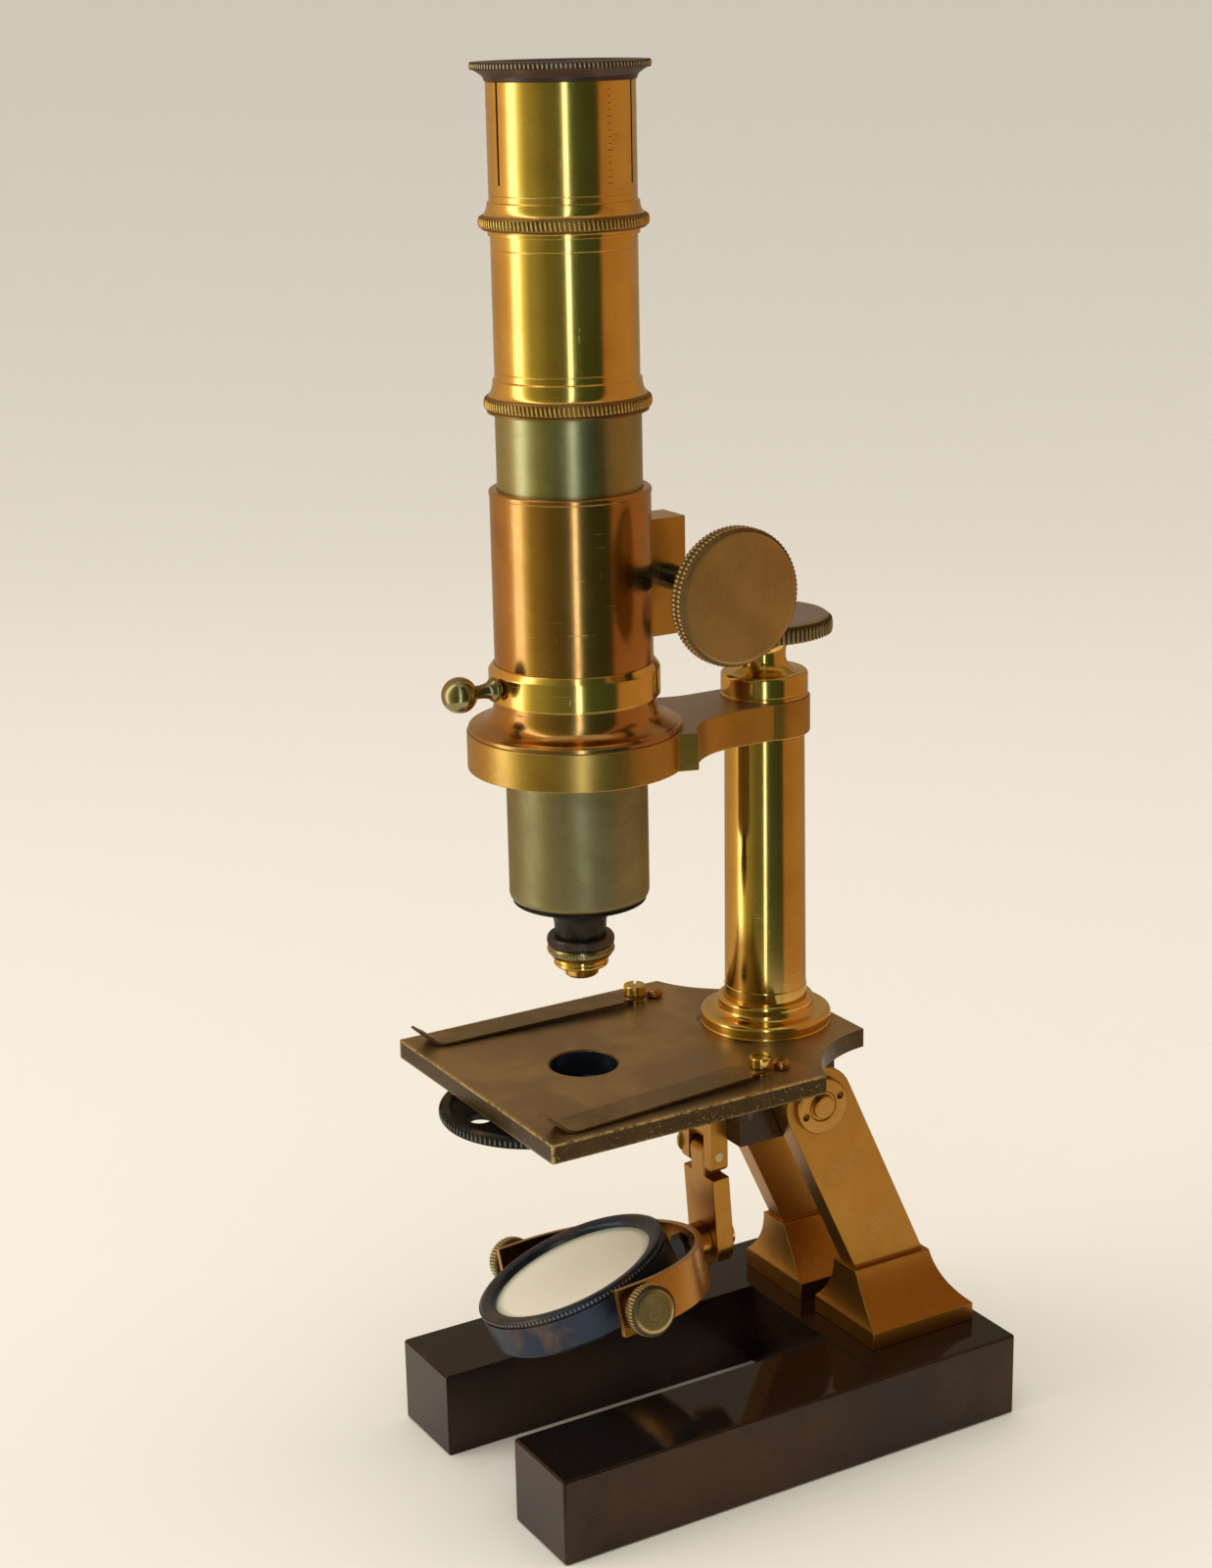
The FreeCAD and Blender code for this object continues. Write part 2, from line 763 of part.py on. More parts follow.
def make_pillar():
    flange_low = stage_top + flange_disc_height
    flange_high = flange_low + flange_step_height
    bore = pillar_bottom_radius + running_clearance
    flange = turned(
        [
            (guide_stem_radius, stage_top),
            (flange_radius, stage_top),
            (flange_radius, flange_low - 0.6),
            (flange_radius - 0.6, flange_low),
            (flange_step_radius + 1.2, flange_low),
            (flange_step_radius + 0.35, flange_low + 0.35, flange_step_radius, flange_low + 1.2),
            (flange_step_radius, flange_high - 0.5),
            (flange_step_radius - 0.5, flange_high),
            (bore, flange_high),
            (bore, stage_top + flange_floor),
            (guide_stem_radius, stage_top + flange_floor),
        ],
        at(0, pillar_y, 0),
    )
    parts["pillar_base_flange"] = flange
    floor = stage_top + flange_floor
    bar = block(
        -guide_bar_half,
        guide_bar_half,
        pillar_y - guide_bar_half,
        pillar_y + guide_bar_half,
        floor,
        guide_bar_top,
    )
    stem_bottom = stage_bottom - guide_stem_depth + 0.4
    stem = rod(guide_stem_radius, floor - stem_bottom, at(0, pillar_y, stem_bottom))
    bar = fused([bar, stem])
    screw_hole = rod(fine_screw_radius, fine_screw_grip, at(0, pillar_y, guide_bar_top - fine_screw_grip))
    bar = bar.cut(screw_hole)
    parts["guide_bar"] = bar
    screw_top = fine_knob_bottom + fine_screw_entry
    screw_bottom = guide_bar_top - fine_screw_grip
    parts["fine_focus_screw"] = rod(
        fine_screw_radius, screw_top - screw_bottom, at(0, pillar_y, screw_bottom)
    )
    tube_bottom = stage_top + pillar_bottom_lift
    tube = turned(
        [
            (pillar_bore, tube_bottom),
            (pillar_bottom_radius, tube_bottom),
            (pillar_bottom_radius, tube_bottom + pillar_straight),
            (pillar_top_radius, arm_bottom),
            (pillar_top_radius, arm_top),
            (pillar_bore, arm_top),
        ],
        at(0, pillar_y, 0),
    )
    parts["pillar_tube"] = tube
    bushings = []
    half = guide_bar_half + running_clearance
    for z in (tube_bottom + lower_bushing_lift, guide_bar_top - upper_bushing_drop):
        ring = rod(pillar_bore, bushing_height, at(0, pillar_y, z))
        bushings.append(
            ring.cut(block(-half, half, pillar_y - half, pillar_y + half, z - 1, z + bushing_height + 1))
        )
    parts["guide_bushings"] = Part.makeCompound(bushings)


def make_pillar_head():
    disc_top = arm_top + cap_disc_height
    neck_top = fine_knob_bottom - free_gap
    hole = fine_screw_radius + free_gap
    cap = turned(
        [
            (hole, arm_top - cap_spigot),
            (pillar_bore, arm_top - cap_spigot),
            (pillar_bore, arm_top),
            (cap_disc_radius, arm_top),
            (cap_disc_radius, disc_top - 0.5),
            (cap_disc_radius - 0.5, disc_top),
            (cap_neck_radius + 3.2, disc_top),
            (cap_neck_radius + 1.0, disc_top + 1.4, cap_neck_radius, disc_top + 3.8),
            (cap_neck_radius + 0.2, disc_top + 5.4, cap_neck_radius + 1.4, neck_top),
            (hole, neck_top),
        ],
        at(0, pillar_y, 0),
    )
    parts["pillar_cap"] = cap
    top = fine_knob_bottom + fine_knob_height
    knob = turned(
        [
            (0, fine_knob_bottom),
            (cap_neck_radius + 2.6, fine_knob_bottom),
            (fine_knob_radius - 2.2, fine_knob_bottom + 0.6),
            (
                fine_knob_radius - 0.4,
                fine_knob_bottom + 1.3,
                fine_knob_radius,
                (fine_knob_bottom + top) / 2 + 0.3,
            ),
            (fine_knob_radius - 0.4, top - 0.9, fine_knob_radius - 1.6, top),
            (0, top),
        ],
        at(0, pillar_y, 0),
    )
    bore = fine_screw_radius + running_clearance
    depth = fine_screw_entry + fine_travel + free_gap
    knob = knob.cut(rod(bore, depth, at(0, pillar_y, fine_knob_bottom)))
    parts["fine_focus_knob"] = knob


def make_arm():
    shoulder_y = foot_front + arm_shoulder_back
    waist_y = foot_front + arm_waist_back
    curve_y = foot_front + arm_curve_back
    ring = rod(arm_ring_radius, arm_top - arm_bottom, at(0, optical_y, arm_bottom))
    socket = rod(arm_socket_radius, arm_top - arm_bottom, at(0, pillar_y, arm_bottom))
    web = slab(
        [
            (-arm_shoulder_x, shoulder_y),
            (-arm_ring_radius * 0.6, optical_y),
            (arm_ring_radius * 0.6, optical_y),
            (arm_shoulder_x, shoulder_y),
            (arm_curve_x, curve_y, arm_waist_x, waist_y),
            (arm_waist_x, pillar_y),
            (-arm_waist_x, pillar_y),
            (-arm_waist_x, waist_y),
            (-arm_curve_x, curve_y, -arm_shoulder_x, shoulder_y),
        ],
        arm_bottom,
        arm_top,
    )
    shape = fused([ring, socket, web])
    shape = shape.cut(rod(jacket_radius, arm_top, at(0, optical_y, arm_bottom + arm_seat_lip)))
    shape = shape.cut(rod(tube_radius + free_gap, arm_top, at(0, optical_y, arm_bottom - 1)))
    shape = shape.cut(rack_slot(slot_reach()))
    shape = shape.cut(rod(pillar_top_radius, arm_top, at(0, pillar_y, arm_bottom - 1)))
    parts["arm"] = shape


def slot_reach():
    return tube_radius + rack_height + rack_slot_gap


def make_jacket():
    jacket = turned(
        [
            (tube_radius + running_clearance, arm_bottom + arm_seat_lip),
            (jacket_radius, arm_bottom + arm_seat_lip),
            (jacket_radius, jacket_top - jacket_lip_height),
            (jacket_radius + 0.15, jacket_top - jacket_lip_height),
            (jacket_radius + 0.15, jacket_top - 0.3),
            (jacket_radius - 0.3, jacket_top),
            (tube_radius + running_clearance, jacket_top),
        ],
        at(0, optical_y, 0),
    )
    jacket = jacket.cut(rack_slot(slot_reach()))
    for x, z in housing_screw_places():
        hole = rod(housing_screw_radius, 4, at(x, optical_y + jacket_radius - 1.2, z), y_axis)
        jacket = jacket.cut(hole)
    parts["jacket"] = jacket
    flange = turned(
        [
            (jacket_radius, arm_top),
            (cove_rim_radius, arm_top),
            (cove_rim_radius, arm_top + cove_rim_height),
            (cove_rim_radius - 0.9, arm_top + cove_rim_height + 0.4),
            (cove_neck_radius + 1.9, arm_top + 3.4, cove_neck_radius, flange_top - 0.9),
            (cove_neck_radius, flange_top),
            (jacket_radius, flange_top),
        ],
        at(0, optical_y, 0),
    )
    parts["jacket_flange"] = flange.cut(rack_slot(slot_reach()))
    collar = turned(
        [
            (jacket_radius, flange_top),
            (collar_radius - collar_groove, flange_top),
            (collar_radius - collar_groove, flange_top + collar_groove),
            (collar_radius, flange_top + collar_groove),
            (collar_radius, collar_top - collar_bevel),
            (jacket_radius + 0.3, collar_top),
            (jacket_radius, collar_top),
        ],
        at(0, optical_y, 0),
    )
    collar = collar.cut(
        block(-3, 3, optical_y, optical_y + collar_radius + 1, flange_top - 1, collar_top + 1)
    )
    z = (flange_top + collar_top) / 2
    hole = rod(
        clamp_screw_radius + running_clearance,
        collar_radius,
        at(0, optical_y - collar_radius - 1, z),
        y_axis,
    )
    parts["clamp_collar"] = collar.cut(hole)
    screw = turned(
        [
            (0, jacket_radius + 0.1),
            (clamp_screw_radius, jacket_radius + 0.1),
            (clamp_screw_radius, collar_radius + free_gap),
            (clamp_bead_radius, collar_radius + free_gap),
            (clamp_bead_radius + 0.5, collar_radius + 1.2, clamp_bead_radius, collar_radius + 2.0),
            (clamp_neck_radius, collar_radius + 3.2),
            (clamp_neck_radius, clamp_ball_reach - 3.6),
            (0, clamp_ball_reach - 3.6),
        ],
        at(0, optical_y, z),
        at(0, -1, 0),
    )
    ball = Part.makeSphere(clamp_ball_radius, at(0, optical_y - clamp_ball_reach, z))
    parts["ball_clamp_screw"] = fused([screw, ball])


def housing_screw_places():
    return [
        (sx * housing_screw_x, pinion_height + sz * housing_screw_z) for sx in (-1, 1) for sz in (-1, 1)
    ]


def involute_flank(base_radius, radius):
    # angle that an involute has turned through when it reaches a radius
    pressure = math.acos(base_radius / radius)
    return math.tan(pressure) - pressure


def gear_tooth_radii():
    tip = pitch_radius + addendum
    root = pitch_radius - addendum - root_clearance
    return tip, root


def make_pinion_gear(x0, x1):
    tip, root = gear_tooth_radii()
    base = pitch_radius * math.cos(math.radians(pressure_angle))
    thickness = math.pi * tooth_module / 2 - tooth_backlash
    half_pitch = thickness / 2 / pitch_radius + involute_flank(base, pitch_radius)
    gear = rod(root, x1 - x0, at(x0, 0, 0), x_axis)
    teeth = []
    for i in range(pinion_teeth):
        turn = 2 * math.pi * i / pinion_teeth
        flank = []
        for step in range(5):
            radius = max(base, root) + (tip - max(base, root)) * step / 4
            flank.append((radius, half_pitch - involute_flank(base, radius)))
        rays = [(root - 0.2, flank[0][1])] + flank
        left = [(r, turn + a) for r, a in rays]
        right = [(r, turn - a) for r, a in reversed(rays)]
        corners = [(-r * math.cos(a), r * math.sin(a)) for r, a in left + right]
        teeth.append(side_plate(corners, x0, x1))
    return fused([gear] + teeth)


def make_rack():
    half = rack_width / 2
    z_low = pinion_height - rack_down_reach
    z_high = pinion_height + rack_up_reach
    surface = optical_y + tube_radius
    pitch_line = pinion_y - pitch_radius
    tip_y = pitch_line + addendum
    root_y = pitch_line - addendum - root_clearance
    slope = math.tan(math.radians(pressure_angle))
    pitch = math.pi * tooth_module
    gap_half = (pitch - (pitch / 2 - tooth_backlash)) / 2
    bar = block(-half, half, surface - 1.0, tip_y, z_low, z_high)
    cuts = []
    first = math.ceil((z_low - pinion_height) / pitch)
    last = math.floor((z_high - pinion_height) / pitch)
    for i in range(first, last + 1):
        z = pinion_height + i * pitch
        at_root = gap_half - (pitch_line - root_y) * slope
        at_tip = gap_half + (tip_y - pitch_line + 0.5) * slope
        cuts.append(
            side_plate(
                [
                    (root_y, z - at_root), (tip_y + 0.5, z - at_tip), (tip_y + 0.5, z + at_tip), (
                        root_y, z + at_root
                    )
                ],
                -half - 1,
                half + 1,
            )
        )
    bar = bar.cut(cuts)
    parts["rack"] = bar.cut(rod(tube_radius, body_top, at(0, optical_y, 0)))


def make_coarse_drive():
    make_rack()
    back = pinion_y + housing_depth_behind
    half = housing_half_width
    z0 = pinion_height - housing_height / 2
    z1 = pinion_height + housing_height / 2
    housing = block(-half, half, optical_y + jacket_radius - 4, back, z0, z1)
    housing = housing.cut(rod(jacket_radius, head_top, at(0, optical_y, 0)))
    housing = housing.cut(rack_slot(slot_reach()))
    tip = gear_tooth_radii()[0]
    pocket_half = rack_width / 2 + rack_slot_gap
    pocket = rod(tip + free_gap, 2 * pocket_half, at(-pocket_half, pinion_y, pinion_height), x_axis)
    bore = rod(
        pinion_shaft_radius + running_clearance,
        2 * half + 2,
        at(-half - 1, pinion_y, pinion_height),
        x_axis,
    )
    housing = housing.cut([pocket, bore])
    screws = []
    for x, z in housing_screw_places():
        housing = housing.cut(
            rod(housing_screw_radius, 30, at(x, optical_y + jacket_radius - 4, z), y_axis)
        )
        head_y = back - housing_screw_head_height
        housing = housing.cut(rod(housing_screw_head_radius, 5, at(x, head_y, z), y_axis))
        tip_y = optical_y + jacket_radius - 1.0
        shank = rod(housing_screw_radius, head_y - tip_y + 0.2, at(x, tip_y, z), y_axis)
        head = rod(housing_screw_head_radius, housing_screw_head_height, at(x, head_y, z), y_axis)
        screw = fused([shank, head])
        screws.append(screw.cut(block(x - 2, x + 2, back - 0.25, back + 1, z - 0.15, z + 0.15)))
    parts["pinion_housing"] = housing
    parts["housing_screws"] = Part.makeCompound(screws)
    inner = coarse_knob_face - coarse_knob_thickness
    stub = coarse_knob_face - coarse_knob_floor
    shaft = rod(pinion_shaft_radius, 2 * inner, at(-inner, 0, 0), x_axis)
    groove = rod(pinion_shaft_radius + 1, rack_width, at(-rack_width / 2, 0, 0), x_axis)
    shaft = shaft.cut(groove)
    gear = make_pinion_gear(-rack_width / 2, rack_width / 2)
    ends = rod(coarse_knob_bore, 2 * stub, at(-stub, 0, 0), x_axis)
    shaft = fused([shaft, gear, ends])
    shaft.translate(at(0, pinion_y, pinion_height))
    parts["pinion_shaft"] = shaft
    knob = turned(
        [
            (coarse_knob_bore, inner),
            (5.0, inner),
            (coarse_knob_radius - 1.0, inner + 0.8),
            (coarse_knob_radius, inner + 1.6),
            (coarse_knob_radius, coarse_knob_face - 0.7),
            (coarse_knob_radius - 0.7, coarse_knob_face),
            (0, coarse_knob_face),
            (0, stub),
            (coarse_knob_bore, stub),
        ],
        at(0, pinion_y, pinion_height),
        x_axis,
    )
    parts["right_focus_knob"] = knob
    parts["left_focus_knob"] = mirrored(knob)


def make_body_tube():
    body = turned(
        [
            (nose_thread_radius, nose_height),
            (tube_radius - body_edge_round, nose_height),
            (
                tube_radius - body_edge_round * (1 - diagonal),
                nose_height + body_edge_round * (1 - diagonal),
                tube_radius,
                nose_height + body_edge_round,
            ),
            (tube_radius, body_top),
            (body_bore, body_top),
            (body_bore, nose_height + body_floor),
            (nose_thread_radius, nose_height + body_floor),
        ],
        at(0, optical_y, 0),
    )
    parts["body_tube"] = body
    ring = knurl_ring_radius
    sliding = draw_radius + running_clearance
    z = body_top
    extension = turned(
        [
            (sliding, z - extension_spigot),
            (body_bore, z - extension_spigot),
            (body_bore, z),
            (ring - 0.6, z),
            (ring - 0.6, z + 0.6),
            (ring, z + 0.8),
            (ring, z + 3.2),
            (ring - 0.5, z + 3.5),
            (extension_radius + 0.9, z + 4.2, extension_radius + 0.45, z + 6.2),
            (extension_radius + 0.45, z + 7.2),
            (extension_radius, z + 7.3),
            (extension_radius, draw_joint),
            (sliding, draw_joint),
        ],
        at(0, optical_y, 0),
    )
    parts["extension_tube"] = extension


def make_draw_tube():
    ring = knurl_ring_radius
    seat = draw_joint + draw_seat_height
    bore = eyepiece_radius + running_clearance
    z = draw_joint
    head = turned(
        [
            (draw_radius, z),
            (extension_radius + 0.5, z),
            (extension_radius + 0.5, z + 0.8),
            (ring - 0.5, z + 1.4),
            (ring, z + 1.7),
            (ring, z + 3.9),
            (ring - 0.5, z + 4.2),
            (head_radius + 0.9, z + 4.8, head_radius + 0.45, z + 6.2),
            (head_radius + 0.45, z + 7.0),
            (head_radius, z + 7.1),
            (head_radius, head_top),
            (bore, head_top),
            (bore, seat),
            (draw_radius, seat),
        ],
        at(0, optical_y, 0),
    )
    for angle in slit_angles:
        slit = block(
            0, head_radius + 2, -slit_width / 2, slit_width / 2, head_top - slit_depth, head_top + 1
        )
        slit.rotate(at(0, 0, 0), z_axis, angle)
        head = head.cut(slit.translated(at(0, optical_y, 0)))
    parts["draw_tube_head"] = head
    tube = rod(draw_radius, seat - draw_bottom, at(0, optical_y, draw_bottom))
    parts["draw_tube"] = tube.cut(rod(draw_radius - draw_wall, seat, at(0, optical_y, draw_bottom - 1)))


def make_eyepiece():
    rim_low = cap_top - cap_rim_height
    barrel_inner = eyepiece_radius - eyepiece_wall
    cap = turned(
        [
            (eye_lens_radius, head_top - cap_spigot_depth),
            (barrel_inner, head_top - cap_spigot_depth),
            (barrel_inner, head_top),
            (cap_cone_radius, head_top),
            (cap_cone_radius + 0.3, head_top + 0.9),
            (cap_cone_radius + 1.0, rim_low - 0.7, cap_radius - 0.9, rim_low),
            (cap_radius, rim_low + 0.5),
            (cap_radius, cap_top - 0.5),
            (cap_radius - 0.9, cap_top),
            (cap_dish_radius + 1.4, cap_top),
            (cap_dish_radius, cap_top - 0.6),
            (cap_dish_radius - 3.5, cap_top - cap_dish_depth),
            (eye_opening_radius, cap_top - cap_dish_depth - 0.6),
            (eye_opening_radius, head_top - eye_lens_seat),
            (eye_lens_radius, head_top - eye_lens_seat),
        ],
        at(0, optical_y, 0),
    )
    parts["eyepiece_cap"] = cap
    bottom = head_top - eyepiece_length
    field_inner = barrel_inner - 1.2
    lens_top = bottom + field_lens_seat + 3.0
    barrel = turned(
        [
            (field_inner, bottom),
            (draw_radius - draw_wall - free_gap, bottom),
            (draw_radius - draw_wall - free_gap, draw_joint + draw_seat_height),
            (eyepiece_radius, draw_joint + draw_seat_height),
            (eyepiece_radius, head_top),
            (barrel_inner, head_top),
            (barrel_inner, draw_joint + draw_seat_height + 1),
            (field_inner - 0.6, draw_joint + draw_seat_height + 1),
            (field_inner - 0.6, lens_top),
            (field_inner, lens_top),
        ],
        at(0, optical_y, 0),
    )
    parts["eyepiece_barrel"] = barrel
    z = head_top - eye_lens_seat
    eye_lens = [
        (0, z - 3.4),
        (eye_lens_radius, z - 3.4),
        (eye_lens_radius, z - 0.8),
        (eye_lens_radius / 2, z - 0.2, lens_flat, z),
        (0, z),
    ]
    parts["eye_lens"] = turned(eye_lens, at(0, optical_y, 0))
    z = bottom + field_lens_seat
    field_lens = [
        (0, z - 1.8),
        (lens_flat, z - 1.8),
        (field_inner / 2, z - 1.3, field_inner, z + 0.2),
        (field_inner, z + 3.0),
        (0, z + 3.0),
    ]
    parts["field_lens"] = turned(field_lens, at(0, optical_y, 0))


def make_nose():
    disc_low = nose_height - adapter_disc_height
    adapter = turned(
        [
            (adapter_bore, nose_height + body_floor),
            (nose_thread_radius, nose_height + body_floor),
            (nose_thread_radius, nose_height),
            (adapter_disc_radius, nose_height),
            (adapter_disc_radius, disc_low + 0.2),
            (adapter_flare_radius, disc_low - 0.3),
            (adapter_neck_radius + 0.9, disc_low - 3.2, adapter_neck_radius, disc_low - 6.6),
            (adapter_neck_radius, neck_bottom),
            (adapter_bore, neck_bottom),
        ],
        at(0, optical_y, 0),
    )
    parts["nose_adapter"] = adapter
    upper_low = neck_bottom - cell_upper_height
    middle_low = upper_low - cell_middle_height
    front_low = middle_low - cell_front_height
    upper = turned(
        [
            (cell_bore, neck_bottom + 3),
            (adapter_bore, neck_bottom + 3),
            (adapter_bore, neck_bottom),
            (objective_radius - 0.3, neck_bottom),
            (objective_radius, neck_bottom - 0.4),
            (objective_radius, upper_low + 0.4),
            (objective_radius - cell_gap_groove, upper_low),
            (cell_bore, upper_low),
        ],
        at(0, optical_y, 0),
    )
    parts["objective_upper_cell"] = upper
    middle = turned(
        [
            (cell_bore, upper_low),
            (objective_radius - cell_gap_groove, upper_low),
            (objective_radius, upper_low - 0.4),
            (objective_radius, middle_low + 0.8),
            (objective_radius - 0.8, middle_low),
            (cell_bore, middle_low),
        ],
        at(0, optical_y, 0),
    )
    parts["objective_middle_cell"] = middle
    front = turned(
        [
            (front_lens_radius, middle_low),
            (cell_front_radius - 0.3, middle_low),
            (cell_front_radius, middle_low - 0.4),
            (cell_front_radius, front_low + 0.4),
            (cell_front_radius - 0.4, front_low),
            (cell_tip_radius + 0.3, front_low - 0.3),
            (cell_tip_radius, objective_tip + 0.5),
            (cell_tip_radius - 0.7, objective_tip),
            (front_lens_radius, objective_tip),
        ],
        at(0, optical_y, 0),
    )
    parts["objective_front_cell"] = front
    lens_low = objective_tip + 0.4
    lens = turned(
        [
            (0, lens_low),
            (front_lens_radius, lens_low),
            (front_lens_radius, lens_low + 1.2),
            (front_lens_radius / 2, lens_low + 1.7, lens_flat, lens_low + 1.9),
            (0, lens_low + 1.9),
        ],
        at(0, optical_y, 0),
    )
    parts["objective_front_lens"] = lens


def bracket_screw_heights():
    return [hinge_bottom + 5.0, stage_bottom - 5.0]


def make_mirror_bracket():
    half = bracket_half_width
    front = hinge_front - bracket_thickness
    shape = block(-half, half, front, hinge_front, bracket_bottom, stage_bottom)
    shape = shape.makeFillet(1.2, [e for e in shape.Edges if abs(e.BoundBox.ZMax - bracket_bottom) < 0.01])
    inner = half - bracket_cheek + free_gap
    shape = shape.cut(
        block(-inner, inner, front - 1, hinge_front + 1, bracket_bottom - 1, hinge_bottom + 1.5)
    )
    pivot = at(-half - 1, bracket_y, mirror_pivot_height)
    shape = shape.cut(rod(mirror_pivot_radius, 2 * half + 2, pivot, x_axis))
    screws = []
    for z in bracket_screw_heights():
        start = at(0, front, z)
        shape = shape.cut(rod(bracket_screw_radius, bracket_thickness + 1, start, y_axis))
        shape = shape.cut(rod(bracket_screw_head_radius, bracket_screw_head_height, start, y_axis))
        shank = rod(bracket_screw_radius, bracket_thickness + 4.5, start, y_axis)
        head = rod(bracket_screw_head_radius, bracket_screw_head_height, start, y_axis)
        screw = fused([shank, head])
        screws.append(screw.cut(block(-3, 3, front - 1, front + 0.5, z - 0.3, z + 0.3)))
    parts["mirror_bracket"] = shape
    parts["bracket_screws"] = Part.makeCompound(screws)
    head = turned(
        [
            (0, -half - pivot_head_height),
            (pivot_head_radius - 0.5, -half - pivot_head_height),
            (pivot_head_radius, -half - pivot_head_height + 0.5),
            (pivot_head_radius, -half),
            (mirror_pivot_radius, -half),
            (mirror_pivot_radius, half),
            (0, half),
        ],
        at(0, bracket_y, mirror_pivot_height),
        x_axis,
    )
    slot_x = -half - pivot_head_height
    slot = block(
        slot_x - 1,
        slot_x + 0.5,
        bracket_y - 4,
        bracket_y + 4,
        mirror_pivot_height - 0.35,
        mirror_pivot_height + 0.35,
    )
    parts["mirror_pivot_screw"] = head.cut(slot)


def hang(shape):
    # leans a piece with the mirror arm about its pivot
    turned_shape = shape.copy()
    turned_shape.rotate(at(0, bracket_y, mirror_pivot_height), x_axis, mirror_arm_lean)
    return turned_shape


def swivel(shape):
    # turns a piece with the fork about its pivot, then leans it with the arm
    turned_shape = shape.copy()
    turned_shape.rotate(at(0, fork_center_y, mirror_axis_z), y_axis, mirror_swivel)
    return hang(turned_shape)


def tilt(shape):
    # tips a piece with the mirror between the fork's screws
    turned_shape = shape.copy()
    turned_shape.rotate(at(0, fork_center_y, mirror_axis_z), x_axis, mirror_tilt)
    return swivel(turned_shape)


def make_mirror_arm():
    half = bracket_half_width
    y0 = bracket_y - bracket_thickness / 2
    y1 = bracket_y + bracket_thickness / 2
    eye = half - bracket_cheek - running_clearance
    top = bracket_bottom - free_gap
    bar = slab(
        [(-half, y0), (half, y0), (half, y1), (-half, y1)],
        mirror_axis_z,
        top - 1.6,
    )
    shoulder = slab(
        [(-eye, y0), (eye, y0), (eye, y1), (-eye, y1)],
        top - 1.6,
        mirror_pivot_height,
    )
    knuckle = rod(bracket_thickness / 2, 2 * eye, at(-eye, bracket_y, mirror_pivot_height), x_axis)
    end = rod(half, bracket_thickness, at(0, y0, mirror_axis_z), y_axis)
    shape = fused([bar, shoulder, knuckle, end])
    pin = rod(
        mirror_pivot_radius + running_clearance,
        2 * half,
        at(-half, bracket_y, mirror_pivot_height),
        x_axis,
    )
    stud = rod(fork_pivot_radius + running_clearance, 20, at(0, y0 - 5, mirror_axis_z), y_axis)
    shape = shape.cut([pin, stud])
    parts["mirror_arm"] = hang(shape)


def make_fork():
    outer = fork_bend_radius
    inner = outer - fork_thickness
    z0 = mirror_axis_z - fork_height / 2
    center = at(0, fork_center_y, z0)
    ring = rod(outer, fork_height, center).cut(rod(inner, fork_height, center))
    ring = ring.cut(
        block(-outer, outer, fork_center_y - outer - 1, fork_center_y, z0 - 1, z0 + fork_height + 1)
    )
    tails = []
    for x in (-outer, inner):
        tails.append(
            block(x, x + fork_thickness, fork_center_y - fork_tail, fork_center_y, z0, z0 + fork_height)
        )
    back = fork_center_y + outer
    boss = rod(
        fork_boss_radius, fork_boss_length + 0.6 - free_gap / 2, at(0, back - 0.6, mirror_axis_z), y_axis
    )
    shape = fused([ring] + tails + [boss])
    hole = rod(mirror_screw_radius, 2 * outer + 2, at(-outer - 1, fork_center_y, mirror_axis_z), x_axis)
    stud_hole = rod(fork_pivot_radius, 20, at(0, inner + fork_center_y - 5, mirror_axis_z), y_axis)
    parts["mirror_fork"] = swivel(shape.cut([hole, stud_hole]))
    stud_start = fork_center_y + inner - 1.0
    arm_back = bracket_y + bracket_thickness / 2
    stud = rod(
        fork_pivot_radius,
        arm_back + fork_nut_height + 0.6 - stud_start,
        at(0, stud_start, mirror_axis_z),
        y_axis,
    )
    stud_head = rod(fork_pivot_radius + 1.2, 0.9, at(0, stud_start - 0.2, mirror_axis_z), y_axis)
    stud_head = stud_head.common(rod(inner - 0.05, fork_height, center))
    parts["fork_pivot_stud"] = swivel(fused([stud, stud_head]))
    nut = rod(fork_nut_radius, fork_nut_height, at(0, arm_back + free_gap / 2, mirror_axis_z), y_axis)
    nut = nut.cut(rod(fork_pivot_radius, 20, at(0, stud_start, mirror_axis_z), y_axis))
    parts["fork_pivot_nut"] = swivel(nut)
    tip = mirror_radius - mirror_wall + 0.4
    face = outer + mirror_screw_boss + mirror_screw_head_length
    screw = turned(
        [
            (0, tip),
            (mirror_screw_radius - 0.5, tip),
            (mirror_screw_radius - 0.5, inner - 1.2),
            (mirror_screw_radius, inner - 1.2),
            (mirror_screw_radius, outer),
            (mirror_screw_radius + 1.6, outer),
            (mirror_screw_radius + 1.6, outer + mirror_screw_boss),
            (mirror_screw_head_radius - 0.5, outer + mirror_screw_boss),
            (mirror_screw_head_radius, outer + mirror_screw_boss + 0.5),
            (mirror_screw_head_radius, face - 0.5),
            (mirror_screw_head_radius - 0.5, face),
            (0, face),
        ],
        at(0, fork_center_y, mirror_axis_z),
        x_axis,
    )
    parts["mirror_screws"] = Part.makeCompound([swivel(screw), swivel(mirrored(screw))])


